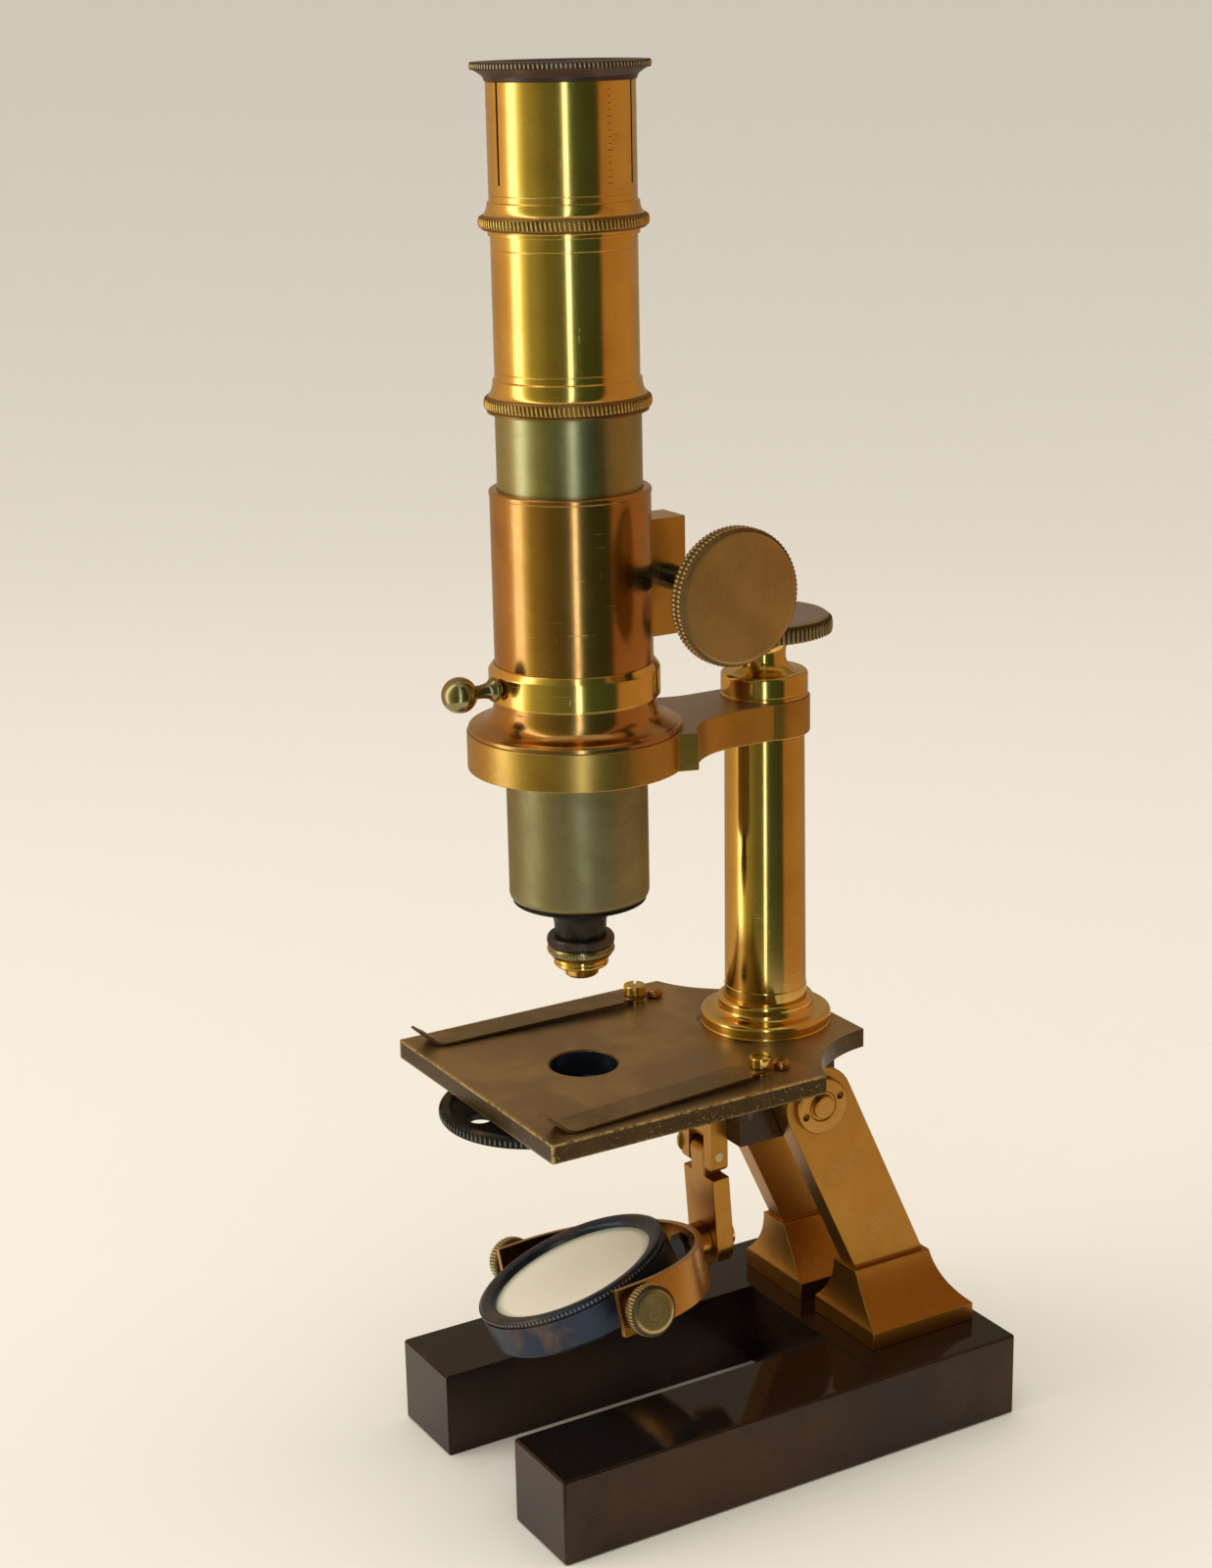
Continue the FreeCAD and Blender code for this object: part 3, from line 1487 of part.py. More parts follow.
def make_mirror():
    z0 = mirror_axis_z - mirror_depth / 2
    z1 = mirror_axis_z + mirror_depth / 2
    bore = mirror_radius - mirror_wall
    bezel_low = z1 - mirror_bezel_height
    center = at(0, fork_center_y, 0)
    cell = turned(
        [
            (0, z0),
            (mirror_radius - 0.6, z0),
            (mirror_radius, z0 + 0.6),
            (mirror_radius, bezel_low),
            (bore, bezel_low),
            (bore, z0 + mirror_floor),
            (0, z0 + mirror_floor),
        ],
        center,
    )
    hole = rod(
        mirror_screw_radius - 0.5 + running_clearance, 80, at(-40, fork_center_y, mirror_axis_z), x_axis
    )
    parts["mirror_cell"] = tilt(cell.cut(hole))
    bezel = turned(
        [
            (bore - 0.1, bezel_low - 1.2),
            (bore, bezel_low - 1.2),
            (bore, bezel_low),
            (mirror_radius, bezel_low),
            (mirror_radius, z1 - 0.3),
            (mirror_radius - 0.3, z1),
            (mirror_radius - 1.6, z1),
            (mirror_bezel_opening, z1 - 0.9),
            (mirror_bezel_opening, bezel_low - 0.2),
            (bore - 0.1, bezel_low - 0.2),
        ],
        center,
    )
    parts["mirror_bezel"] = tilt(bezel)
    glass_top = bezel_low - 0.2
    glass = rod(
        mirror_glass_radius, mirror_glass_thickness, at(
            0, fork_center_y, glass_top - mirror_glass_thickness
        )
    )
    parts["mirror_glass"] = tilt(glass)
    seat_top = glass_top - mirror_glass_thickness
    seat = rod(bore, seat_top - z0 - mirror_floor, at(0, fork_center_y, z0 + mirror_floor))
    seat = seat.cut(rod(bore - 2.4, 20, at(0, fork_center_y, z0)))
    parts["mirror_seat_ring"] = tilt(seat.cut(hole))


make_foot()
make_upright()
make_upright_screws()
make_trunnion()
make_hinge_block()
make_stage()
make_hinge_screws()
make_diaphragm()
make_clips()
make_pillar()
make_pillar_head()
make_arm()
make_jacket()
make_coarse_drive()
make_body_tube()
make_draw_tube()
make_eyepiece()
make_nose()
make_mirror_bracket()
make_mirror_arm()
make_fork()
make_mirror()

os.makedirs("parts", exist_ok=True)
for name, shape in parts.items():
    shape.exportStep("parts/" + name + ".step")
    print(name, len(shape.Solids), round(shape.Volume, 1), shape.isValid())
print(len(parts), "parts")
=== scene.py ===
import bpy
import bmesh
import json
import math
from mathutils import Matrix, Vector

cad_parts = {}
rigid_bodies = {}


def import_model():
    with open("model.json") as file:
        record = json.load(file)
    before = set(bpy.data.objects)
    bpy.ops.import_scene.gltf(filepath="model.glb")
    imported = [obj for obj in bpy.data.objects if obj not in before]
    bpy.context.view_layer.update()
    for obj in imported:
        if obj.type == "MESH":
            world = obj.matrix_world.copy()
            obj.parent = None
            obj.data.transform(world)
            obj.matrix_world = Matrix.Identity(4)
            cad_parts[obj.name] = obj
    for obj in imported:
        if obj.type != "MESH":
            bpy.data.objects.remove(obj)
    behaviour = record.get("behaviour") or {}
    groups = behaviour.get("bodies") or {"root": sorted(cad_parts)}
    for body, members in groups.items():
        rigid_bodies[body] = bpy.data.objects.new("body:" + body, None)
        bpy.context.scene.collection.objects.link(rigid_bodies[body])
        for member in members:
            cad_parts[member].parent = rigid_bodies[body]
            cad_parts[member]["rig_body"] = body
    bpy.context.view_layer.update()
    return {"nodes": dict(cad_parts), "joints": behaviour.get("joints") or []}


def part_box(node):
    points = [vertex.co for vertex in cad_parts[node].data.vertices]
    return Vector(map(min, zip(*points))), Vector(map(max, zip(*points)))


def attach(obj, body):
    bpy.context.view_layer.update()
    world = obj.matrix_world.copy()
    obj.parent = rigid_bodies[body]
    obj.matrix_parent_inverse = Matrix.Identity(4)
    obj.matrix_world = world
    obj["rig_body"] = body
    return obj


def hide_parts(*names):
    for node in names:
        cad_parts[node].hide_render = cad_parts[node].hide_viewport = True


# Antique brass microscope. Sizes in this script are millimetres and become metres in the meshes.
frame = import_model()
mm = 0.001
bodyOf = {node: shown["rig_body"] for node, shown in frame["nodes"].items()}
jointOf = {joint["name"]: joint for joint in frame["joints"]}


class Place:
    # the box of a frame node, in millimetres
    def __init__(self, node):
        low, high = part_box(node)
        self.x0, self.y0, self.z0 = (value / mm for value in low)
        self.x1, self.y1, self.z1 = (value / mm for value in high)
        self.radius = (self.x1 - self.x0) / 2
        self.middle = Vector(((self.x0 + self.x1) / 2, (self.y0 + self.y1) / 2, (self.z0 + self.z1) / 2))

    def above(self, height=0):
        # a point on the node's own upright axis
        return Vector((self.middle.x, self.middle.y, height))


# camera, light and floor

view = {
    "eye": (505.02, -319.05, 338.86),
    "turn": 59.67,
    "drop": 16.26,
    "roll": -1.18,
    "lens": 61.56,
}


def makeCamera():
    turn, drop, roll = (math.radians(view[key]) for key in ("turn", "drop", "roll"))
    back = Vector((math.sin(turn) * math.cos(drop), -math.cos(turn) * math.cos(drop), math.sin(drop)))
    right = Vector((math.cos(turn), math.sin(turn), 0))
    up = back.cross(right)
    sideways = right * math.cos(roll) + up * math.sin(roll)
    upward = up * math.cos(roll) - right * math.sin(roll)
    camera = bpy.data.objects.new("camera", bpy.data.cameras.new("camera"))
    camera.data.lens = view["lens"]
    camera.data.sensor_width = 36
    camera.data.clip_start = 0.01
    camera.matrix_world = Matrix.Translation(Vector(view["eye"]) * mm) @ Matrix((sideways, upward, back)).transposed().to_4x4()
    bpy.context.scene.collection.objects.link(camera)
    bpy.context.scene.camera = camera


# bearing is in degrees to the right of the camera, seen from the object; sizes and distance in metres
lamps = {
    "leftWindow": {"bearing": -75, "height": 0.95, "away": 1.6, "size": (1.3, 1.3), "power": 15, "color": (1.0, 0.93, 0.82)},
    "rightWall": {"bearing": 100, "height": 0.80, "away": 1.7, "size": (1.4, 1.2), "power": 6, "color": (1.0, 0.84, 0.66)},
    "ceiling": {"bearing": -30, "height": 1.9, "away": 0.3, "size": (2.2, 2.2), "power": 21, "color": (1.0, 0.95, 0.88)},
}


def bearingTo(degrees):
    # a level direction in the scene from a bearing to the right of the camera
    turn = math.radians(view["turn"])
    toCamera = Vector((math.sin(turn), -math.cos(turn), 0))
    toRight = Vector((math.cos(turn), math.sin(turn), 0))
    return toCamera * math.cos(math.radians(degrees)) + toRight * math.sin(math.radians(degrees))


def makeLamps():
    aim = Vector((0, -20, 120)) * mm
    for name, lamp in lamps.items():
        spot = bearingTo(lamp["bearing"]) * lamp["away"]
        spot.z = lamp["height"]
        light = bpy.data.lights.new(name, "AREA")
        light.shape = "RECTANGLE"
        light.size, light.size_y = lamp["size"]
        light.energy = lamp["power"]
        light.color = lamp["color"]
        shown = bpy.data.objects.new(name, light)
        shown.matrix_world = Matrix.Translation(spot) @ (spot - aim).to_track_quat("Z", "Y").to_matrix().to_4x4()
        shown.visible_camera = False
        shown.visible_glossy = False
        bpy.context.scene.collection.objects.link(shown)


# shader writing

class Wire:
    # wraps a socket, so that masks are written as plain sums
    def __init__(self, shader, socket):
        self.shader = shader
        self.socket = socket

    def maths(self, operation, *inputs):
        return self.shader.node("ShaderNodeMath", {"operation": operation}, dict(enumerate(inputs)))

    def __add__(self, other):
        return self.maths("ADD", self, other)

    __radd__ = __add__

    def __mul__(self, other):
        return self.maths("MULTIPLY", self, other)

    __rmul__ = __mul__

    def __sub__(self, other):
        return self.maths("SUBTRACT", self, other)

    def __rsub__(self, other):
        return self.maths("SUBTRACT", other, self)

    def __truediv__(self, other):
        return self.maths("DIVIDE", self, other)

    def __abs__(self):
        return self.maths("ABSOLUTE", self)

    def least(self, other):
        return self.maths("MINIMUM", self, other)

    def most(self, other):
        return self.maths("MAXIMUM", self, other)

    def fade(self, low, high):
        # 0 below low, 1 above high, smooth between
        values = {"Value": self, "From Min": low, "From Max": high}
        return self.shader.node("ShaderNodeMapRange", {"interpolation_type": "SMOOTHSTEP"}, values)


class Shader:
    def __init__(self, name):
        self.material = bpy.data.materials.new(name)
        self.material.use_nodes = True
        self.tree = self.material.node_tree
        self.tree.nodes.clear()

    def node(self, kind, settings=None, inputs=None, output=0):
        made = self.tree.nodes.new(kind)
        for key, value in (settings or {}).items():
            if key == "stops":
                self.setStops(made.color_ramp, value)
            else:
                setattr(made, key, value)
        for key, value in (inputs or {}).items():
            if isinstance(value, Wire):
                self.tree.links.new(value.socket, made.inputs[key])
            else:
                made.inputs[key].default_value = value
        return Wire(self, made.outputs[output]) if made.outputs else None

    def setStops(self, ramp, stops):
        while len(ramp.elements) < len(stops):
            ramp.elements.new(0.5)
        for element, (position, color) in zip(ramp.elements, stops):
            element.position = position
            element.color = (*color, 1)

    def coordinates(self, scale=(1, 1, 1), turn=(0, 0, 0), middle=(0, 0, 0)):
        # the piece's own place in millimetres, measured from a middle, turned and stretched
        raw = self.node("ShaderNodeTexCoord", output=3)
        shifted = self.node(
            "ShaderNodeVectorMath", {"operation": "MULTIPLY_ADD"},
            {0: raw, 1: (1 / mm,) * 3, 2: tuple(-value for value in middle)},
        )
        angles = tuple(math.radians(value) for value in turn)
        return self.node("ShaderNodeMapping", None, {"Vector": shifted, "Rotation": angles, "Scale": scale})

    def noise(self, vector, scale=1.0, detail=3.0, roughness=0.55, distortion=0.0):
        values = {"Vector": vector, "Scale": scale, "Detail": detail, "Roughness": roughness, "Distortion": distortion}
        return self.node("ShaderNodeTexNoise", None, values)

    def split(self, vector):
        parts = self.node("ShaderNodeSeparateXYZ", None, {0: vector})
        outputs = parts.socket.node.outputs
        return [Wire(self, outputs[index]) for index in range(3)]

    def facing(self):
        # the way the surface faces, in the piece's own axes
        return self.node("ShaderNodeTexCoord", output=1)

    def reach(self, middle, axis):
        # how far a point is from an axis through the middle, in millimetres
        arm = self.coordinates(middle=tuple(middle))
        axis = tuple(Vector(axis).normalized())
        across = self.node("ShaderNodeVectorMath", {"operation": "CROSS_PRODUCT"}, {0: arm, 1: axis})
        return self.length(across)

    def length(self, vector):
        return self.node("ShaderNodeVectorMath", {"operation": "LENGTH"}, {0: vector}, output=1)

    def mix(self, factor, first, second):
        # a colour between two colours
        first, second = ((*value, 1) if isinstance(value, tuple) else value for value in (first, second))
        return self.node("ShaderNodeMix", {"data_type": "RGBA"}, {0: factor, 6: first, 7: second}, output=2)

    def scratches(self, scale, turn, sharpness=0.74, middle=(0, 0, 0)):
        # long thin marks that lie one way, broken up by a coarser noise
        along = self.noise(self.coordinates(scale, turn, middle), 1.0, 2.0)
        gate = self.noise(self.coordinates((0.16, 0.16, 0.16), turn, middle), 1.0, 2.0)
        return along.fade(sharpness, sharpness + 0.05) * gate.fade(0.45, 0.62)

    def finish(self, color, roughness, metallic=1.0, bumps=None, depth=0.02, constants=None):
        values = {"Base Color": (*color, 1) if isinstance(color, tuple) else color}
        values["Roughness"] = roughness
        values["Metallic"] = metallic
        values.update(constants or {})
        if bumps is not None:
            values["Normal"] = self.node("ShaderNodeBump", None, {"Height": bumps, "Distance": depth * mm, "Strength": 1.0})
        surface = self.node("ShaderNodeBsdfPrincipled", None, values)
        self.node("ShaderNodeOutputMaterial", None, {"Surface": surface})
        return self.material


# finishes

# lines is the stretch of the polishing marks along X, Y and Z; a large number is fine detail that way
brassLooks = {
    "goldLacquer": {
        "bright": (0.84, 0.57, 0.17), "deep": (0.74, 0.45, 0.11), "worn": (0.50, 0.42, 0.19), "stain": (0.20, 0.10, 0.035),
        "lines": (0.05, 0.05, 7.0), "roughness": 0.115, "lineDepth": 0.0011, "wear": 0.22, "stains": 0.5,
    },
    "copperLacquer": {
        "bright": (0.55, 0.30, 0.095), "deep": (0.45, 0.215, 0.062), "worn": (0.56, 0.37, 0.13), "stain": (0.13, 0.05, 0.022),
        "lines": (0.05, 0.05, 7.0), "roughness": 0.155, "lineDepth": 0.0012, "wear": 0.25, "stains": 0.5,
    },
    "drawnBrass": {
        "bright": (0.41, 0.365, 0.18), "deep": (0.32, 0.28, 0.13), "worn": (0.52, 0.48, 0.28), "stain": (0.13, 0.09, 0.04),
        "lines": (4.0, 4.0, 0.06), "roughness": 0.27, "lineDepth": 0.0014, "wear": 0.35, "stains": 0.6,
    },
    "oldBrass": {
        "bright": (0.50, 0.42, 0.20), "deep": (0.32, 0.24, 0.10), "worn": (0.62, 0.55, 0.30), "stain": (0.08, 0.05, 0.03),
        "lines": (0.4, 0.4, 4.0), "roughness": 0.2, "lineDepth": 0.0012, "wear": 0.4, "stains": 0.9,
    },
    "armBrass": {
        "bright": (0.60, 0.375, 0.095), "deep": (0.46, 0.26, 0.058), "worn": (0.66, 0.48, 0.18), "stain": (0.20, 0.09, 0.03),
        "lines": (0.5, 0.5, 4.0), "roughness": 0.29, "lineDepth": 0.0020, "wear": 0.3, "stains": 0.6,
    },
    "satinBrass": {
        "bright": (0.44, 0.218, 0.040), "deep": (0.385, 0.178, 0.030), "worn": (0.62, 0.40, 0.14), "stain": (0.20, 0.09, 0.03),
        "lines": (5.0, 0.5, 0.14), "roughness": 0.33, "lineDepth": 0.0026, "wear": 0.35, "stains": 0.55,
    },
}


# painted sheen: the pale grey that brass is lightened towards where it faces up, standing in for light from above on
# those faces
paintedTopSheen = (0.46, 0.385, 0.36)


def dullBelow(height, amount):
    # a mask of the tarnished part of a tube under a height
    def mask(shader):
        plain = shader.coordinates()
        cloud = shader.noise(plain, 0.09, 4.0, 0.7, 0.4).fade(0.2, 0.75)
        return (height - shader.split(plain)[2]).fade(0.0, 6.0) * (cloud * 0.5 + 0.5) * amount
    return mask


def betweenRibs(center, axis, radius, depth=0.34):
    # a mask of the valleys of a knurled ring of that radius about that axis
    def mask(shader):
        away = shader.reach(center, axis)
        return away.fade(radius - 1.1, radius - 0.95) * (1 - away.fade(radius - depth, radius - depth * 0.35))
    return mask


def ribTips(center, axis, radius, depth=0.22):
    # a mask of the tops of those ribs
    def mask(shader):
        return shader.reach(center, axis).fade(radius - depth, radius - depth * 0.2)
    return mask


def makeBrass(name, look, lines=None, middle=(0, 0, 0), roughness=None, tint=1.0, grime=None, pale=0.0):
    shader = Shader(name)
    base = roughness or look["roughness"]
    plain = shader.coordinates(middle=middle)
    cloud = shader.noise(plain, 0.055, 4.0, 0.6, 0.4)
    fine = shader.noise(plain, 0.9, 5.0, 0.7)
    marks = shader.noise(shader.coordinates(lines or look["lines"], middle=middle), 1.0, 3.0, 0.6)
    scuffs = shader.scratches((0.09, 0.09, 5.5), (31, 17, 40), 0.68, middle)
    nicks = shader.scratches((4.5, 0.12, 0.12), (12, 64, 25), 0.70, middle)
    wear = (cloud.fade(0.54, 0.70) * fine.fade(0.35, 0.62) * look["wear"]).least(1.0)
    stain = shader.noise(plain, 0.23, 6.0, 0.75, 0.8).fade(0.60, 0.74) * look["stains"]
    specks = shader.noise(plain, 2.1, 3.0, 0.6).fade(0.66, 0.74) * look["stains"]
    bright, deep = (tuple(value * tint for value in look[key]) for key in ("bright", "deep"))
    color = shader.mix(cloud.fade(0.30, 0.72), bright, deep)
    color = shader.mix(marks.fade(0.3, 0.8) * 0.25, color, deep)
    color = shader.mix(wear, color, look["worn"])
    color = shader.mix((stain * 0.5 + specks * 0.7).least(1.0), color, look["stain"])
    color = shader.mix((scuffs + nicks).least(1.0) * 0.4, color, look["worn"])
    rough = (marks - 0.5) * 0.10 + wear * 0.22 + stain * 0.16 + (scuffs + nicks) * 0.16 + fine * 0.05 + base
    # painted sheen: faces that point up are lightened towards the pale top colour and made rougher
    if pale:
        upward = shader.split(shader.facing())[2].fade(0.7, 0.9)
        color = shader.mix(upward * pale, color, paintedTopSheen)
        rough = rough + upward * 0.14
    if grime is not None:
        valleys = grime(shader)
        color = shader.mix(valleys * 0.85, color, look["stain"])
        rough = rough + valleys * 0.3
    bumps = marks * look["lineDepth"] * 1000 - (scuffs + nicks) * 0.8 - specks * 0.6
    return shader.finish(color, rough, 1.0, bumps, 0.0022)


def makeFaceBrushed(name, look, middle, axis, roughness, rings=True, tint=1.0, grime=None, pale=0.0, depth=0.005):
    # a turned flat face: the marks run round its axis, or across it when rings is off
    shader = Shader(name)
    around = shader.reach(middle, axis)
    slow = shader.noise(shader.coordinates((0.3, 0.3, 0.3), middle=tuple(middle)), 1.0, 3.0)
    path = shader.node("ShaderNodeCombineXYZ", None, {0: around * 4.2, 1: slow * 1.5, 2: 0.0})
    marks = shader.noise(path, 1.0, 3.0, 0.65)
    grit = shader.noise(shader.coordinates((2.6, 2.6, 0.35), middle=tuple(middle)), 1.0, 5.0, 0.75)
    marks = marks if rings else grit
    cloud = shader.noise(shader.coordinates((0.09, 0.09, 0.09), middle=tuple(middle)), 1.0, 4.0)
    specks = shader.noise(shader.coordinates((2.2, 2.2, 2.2)), 1.0, 2.0).fade(0.66, 0.75)
    bright, deep = (tuple(value * tint for value in look[key]) for key in ("bright", "deep"))
    color = shader.mix(cloud.fade(0.35, 0.65), bright, deep)
    color = shader.mix(marks.fade(0.35, 0.7) * 0.4, color, look["worn"])
    color = shader.mix(specks * 0.6, color, look["stain"])
    rough = (marks - 0.5) * 0.2 + cloud * 0.08 + roughness
    # painted sheen: faces that point up are lightened towards the pale top colour and made rougher
    if pale:
        upward = shader.split(shader.facing())[2].fade(0.7, 0.9)
        color = shader.mix(upward * pale, color, paintedTopSheen)
        rough = rough + upward * 0.12
    if grime is not None:
        valleys = grime(shader)
        color = shader.mix(valleys * 0.85, color, look["stain"])
        rough = rough + valleys * 0.3
    return shader.finish(color, rough, 1.0, marks - specks * 0.5, depth)


bronzeLook = {
    "ground": (0.070, 0.044, 0.018), "warm": (0.15, 0.092, 0.031), "speck": (0.42, 0.27, 0.09), "edge": (0.66, 0.46, 0.17),
    "roughness": 0.34, "edgeWidth": 0.55,
}


def makeBronze(name, worn=None, warmth=0.5, tint=1.0, rise=1.0):
    # worn is a mask of rubbed places that the piece works out for itself; rise is painted light: it lightens what faces
    # up, as light from above would
    shader = Shader(name)
    plain = shader.coordinates()
    cloud = shader.noise(plain, 0.045, 5.0, 0.62, 0.5)
    grain = shader.noise(plain, 1.7, 6.0, 0.8)
    dots = shader.noise(plain, 1.6, 3.0, 0.6).fade(0.58, 0.70) * shader.noise(plain, 0.12, 3.0).fade(0.36, 0.58)
    rub = shader.scratches((0.12, 4.0, 4.0), (0, 0, 24), 0.69)
    ground, warm = (tuple(value * tint for value in bronzeLook[key]) for key in ("ground", "warm"))
    patches = cloud.fade(0.38, 0.68) * warmth * 1.6
    color = shader.mix(patches, ground, warm)
    # painted light: a copy of the same colours, rise times brighter, on faces that point up
    if rise != 1.0:
        above = shader.mix(patches, *(tuple(value * rise for value in tone) for tone in (ground, warm)))
        upward = shader.split(shader.facing())[2].fade(0.6, 0.9)
        color = shader.mix(upward, color, above)
    color = shader.mix(dots * 0.75, color, bronzeLook["speck"])
    color = shader.mix(rub * 0.35, color, bronzeLook["speck"])
    rough = grain * 0.24 + cloud * 0.1 + bronzeLook["roughness"] - 0.14
    if worn is not None:
        mask = worn(shader) * shader.noise(plain, 0.5, 5.0, 0.7).fade(0.32, 0.56)
        color = shader.mix(mask, color, bronzeLook["edge"])
        rough = rough - mask * 0.08
    return shader.finish(color, rough, 0.88, grain + dots * 0.4 - rub * 0.5, 0.006)


japanLook = {
    "black": (0.0075, 0.0055, 0.0045), "brown": (0.030, 0.014, 0.008), "dust": (0.10, 0.075, 0.05), "iron": (0.15, 0.105, 0.07),
    "roughness": 0.05, "sheen": (1.0, 0.74, 0.55, 1),
}


def makeJapan(name, low, high):
    # glossy baked black; the sides turn brown, the edges are rubbed and the top gathers dust and scratches
    shader = Shader(name)
    plain = shader.coordinates()
    cloud = shader.noise(plain, 0.035, 4.0, 0.6, 0.3)
    ripple = shader.noise(plain, 0.14, 2.0, 0.4)
    dust = shader.noise(plain, 0.55, 6.0, 0.82).fade(0.56, 0.82)
    pits = shader.noise(plain, 1.4, 2.0).fade(0.71, 0.76)
    hair = shader.scratches((0.05, 3.2, 3.2), (8, 12, 63), 0.71) + shader.scratches((3.0, 0.06, 3.0), (5, 9, 28), 0.72)
    upward = shader.split(shader.facing())[2]
    sides = 1 - abs(upward).fade(0.4, 0.8)
    color = shader.mix(sides * cloud.fade(0.3, 0.7), japanLook["black"], japanLook["brown"])
    color = shader.mix(dust * 0.10, color, japanLook["dust"])
    color = shader.mix((hair * 0.16 + pits * 0.5).least(1.0), color, japanLook["iron"])
    x, y, z = shader.split(plain)
    rim = (z - (high.z - 0.55)).fade(0.0, 0.5) * shader.noise(plain, 0.35, 4.0, 0.7).fade(0.55, 0.7) * sides
    color = shader.mix(rim * 0.5, color, japanLook["iron"])
    rough = dust * 0.18 + hair * 0.15 + cloud * 0.05 + sides * 0.14 + japanLook["roughness"]
    bumps = ripple * 0.6 - hair * 0.06 - pits * 0.2 + dust * 0.02
    return shader.finish(color, rough, 0.0, bumps, 0.05, {"IOR": 1.42, "Specular Tint": japanLook["sheen"]})


blackenedLooks = {
    "purpleBrown": {"ground": (0.075, 0.052, 0.050), "warm": (0.17, 0.115, 0.075), "tip": (0.78, 0.66, 0.36), "roughness": 0.36},
    "blueBlack": {"ground": (0.036, 0.046, 0.072), "warm": (0.15, 0.098, 0.070), "tip": (0.40, 0.36, 0.28), "roughness": 0.33},
    "sootBlack": {"ground": (0.022, 0.020, 0.019), "warm": (0.10, 0.075, 0.05), "tip": (0.26, 0.26, 0.25), "roughness": 0.42},
}


def makeBlackened(name, look, patch=(0.07, 0.07, 0.07), amount=0.6, drop=None, tips=None):
    # chemically darkened brass, browner where it has rubbed or below a height
    shader = Shader(name)
    plain = shader.coordinates()
    cloud = shader.noise(shader.coordinates(patch), 1.0, 5.0, 0.65, 0.5)
    grain = shader.noise(plain, 1.9, 5.0, 0.75)
    dots = shader.noise(plain, 1.3, 2.0).fade(0.66, 0.74)
    rubbed = cloud.fade(0.48, 0.68) * amount
    if drop is not None:
        height = shader.split(plain)[2]
        rubbed = rubbed.most((drop - height).fade(-3.0, 5.0) * amount)
    color = shader.mix(rubbed.least(1.0), look["ground"], look["warm"])
    color = shader.mix(dots * 0.4, color, look["warm"])
    if tips is not None:
        color = shader.mix(tips(shader) * 0.8, color, look["tip"])
    rough = grain * 0.16 + cloud * 0.12 + look["roughness"] - 0.12
    return shader.finish(color, rough, 0.85, grain + dots * 0.3, 0.004)


steelLooks = {
    "blued": {"color": (0.055, 0.075, 0.11), "second": (0.13, 0.09, 0.06), "roughness": 0.24},
    "screw": {"color": (0.20, 0.17, 0.14), "second": (0.09, 0.06, 0.045), "roughness": 0.3},
}


def makeSteel(name, look):
    shader = Shader(name)
    plain = shader.coordinates()
    cloud = shader.noise(plain, 0.25, 4.0, 0.7)
    lines = shader.noise(shader.coordinates((6.0, 0.4, 0.4)), 1.0, 2.0)
    color = shader.mix(cloud.fade(0.45, 0.7), look["color"], look["second"])
    return shader.finish(color, lines * 0.12 + cloud * 0.1 + look["roughness"], 1.0, lines, 0.003)


# the cream white is a painted reflection of a pale ceiling; the green edge is the glass's own
paintedReflectionLook = {"white": (0.94, 0.885, 0.74), "edge": (0.42, 0.47, 0.30), "roughness": 0.07}


def makeMirrorGlass(name, middle, radius):
    # painted reflection: a cream-white face under clear glass stands in for the pale ceiling the mirror reflects;
    # greener and darker towards the ground edge
    shader = Shader(name)
    away = shader.length(shader.coordinates(middle=tuple(middle)))
    rim = away.fade(radius - 2.4, radius - 0.2)
    haze = shader.noise(shader.coordinates((0.12, 0.12, 0.12)), 1.0, 5.0, 0.7)
    spots = shader.noise(shader.coordinates(), 1.1, 3.0).fade(0.69, 0.76) * away.fade(radius * 0.5, radius)
    color = shader.mix(rim * 0.8, paintedReflectionLook["white"], paintedReflectionLook["edge"])
    color = shader.mix((haze.fade(0.5, 0.8) * 0.10 + spots * 0.5).least(1.0), color, paintedReflectionLook["edge"])
    return shader.finish(color, haze * 0.05 + paintedReflectionLook["roughness"], 0.0, haze, 0.002, {"Coat Weight": 0.6, "Coat Roughness": 0.03})


def makeLensGlass(name):
    shader = Shader(name)
    haze = shader.noise(shader.coordinates(), 0.4, 4.0)
    return shader.finish((0.72, 0.80, 0.80), haze * 0.04 + 0.02, 0.0, haze, 0.001, {"Transmission Weight": 0.9, "IOR": 1.52})


# meshes

def newPiece(name, mesh):
    piece = bpy.data.objects.new(name, mesh)
    bpy.context.scene.collection.objects.link(piece)
    return piece


def smooth(mesh, limit=38):
    mesh.polygons.foreach_set("use_smooth", [True] * len(mesh.polygons))
    mesh.set_sharp_from_angle(angle=math.radians(limit))


def bake(piece):
    # the evaluated result becomes the piece's plain mesh, and its modifiers go
    bpy.context.view_layer.update()
    seen = piece.evaluated_get(bpy.context.evaluated_depsgraph_get())
    mesh = bpy.data.meshes.new_from_object(seen)
    piece.modifiers.clear()
    piece.data = mesh
    return piece


def curveTo(start, control, end, count=9):
    # profile points along a quadratic curve, with no corner of their own
    points = []
    for step in range(count):
        t = step / (count - 1)
        near, between, far = (1 - t) ** 2, 2 * t * (1 - t), t * t
        radius = near * start[0] + between * control[0] + far * end[0]
        height = near * start[1] + between * control[1] + far * end[1]
        points.append((radius, height, 0))
    return points


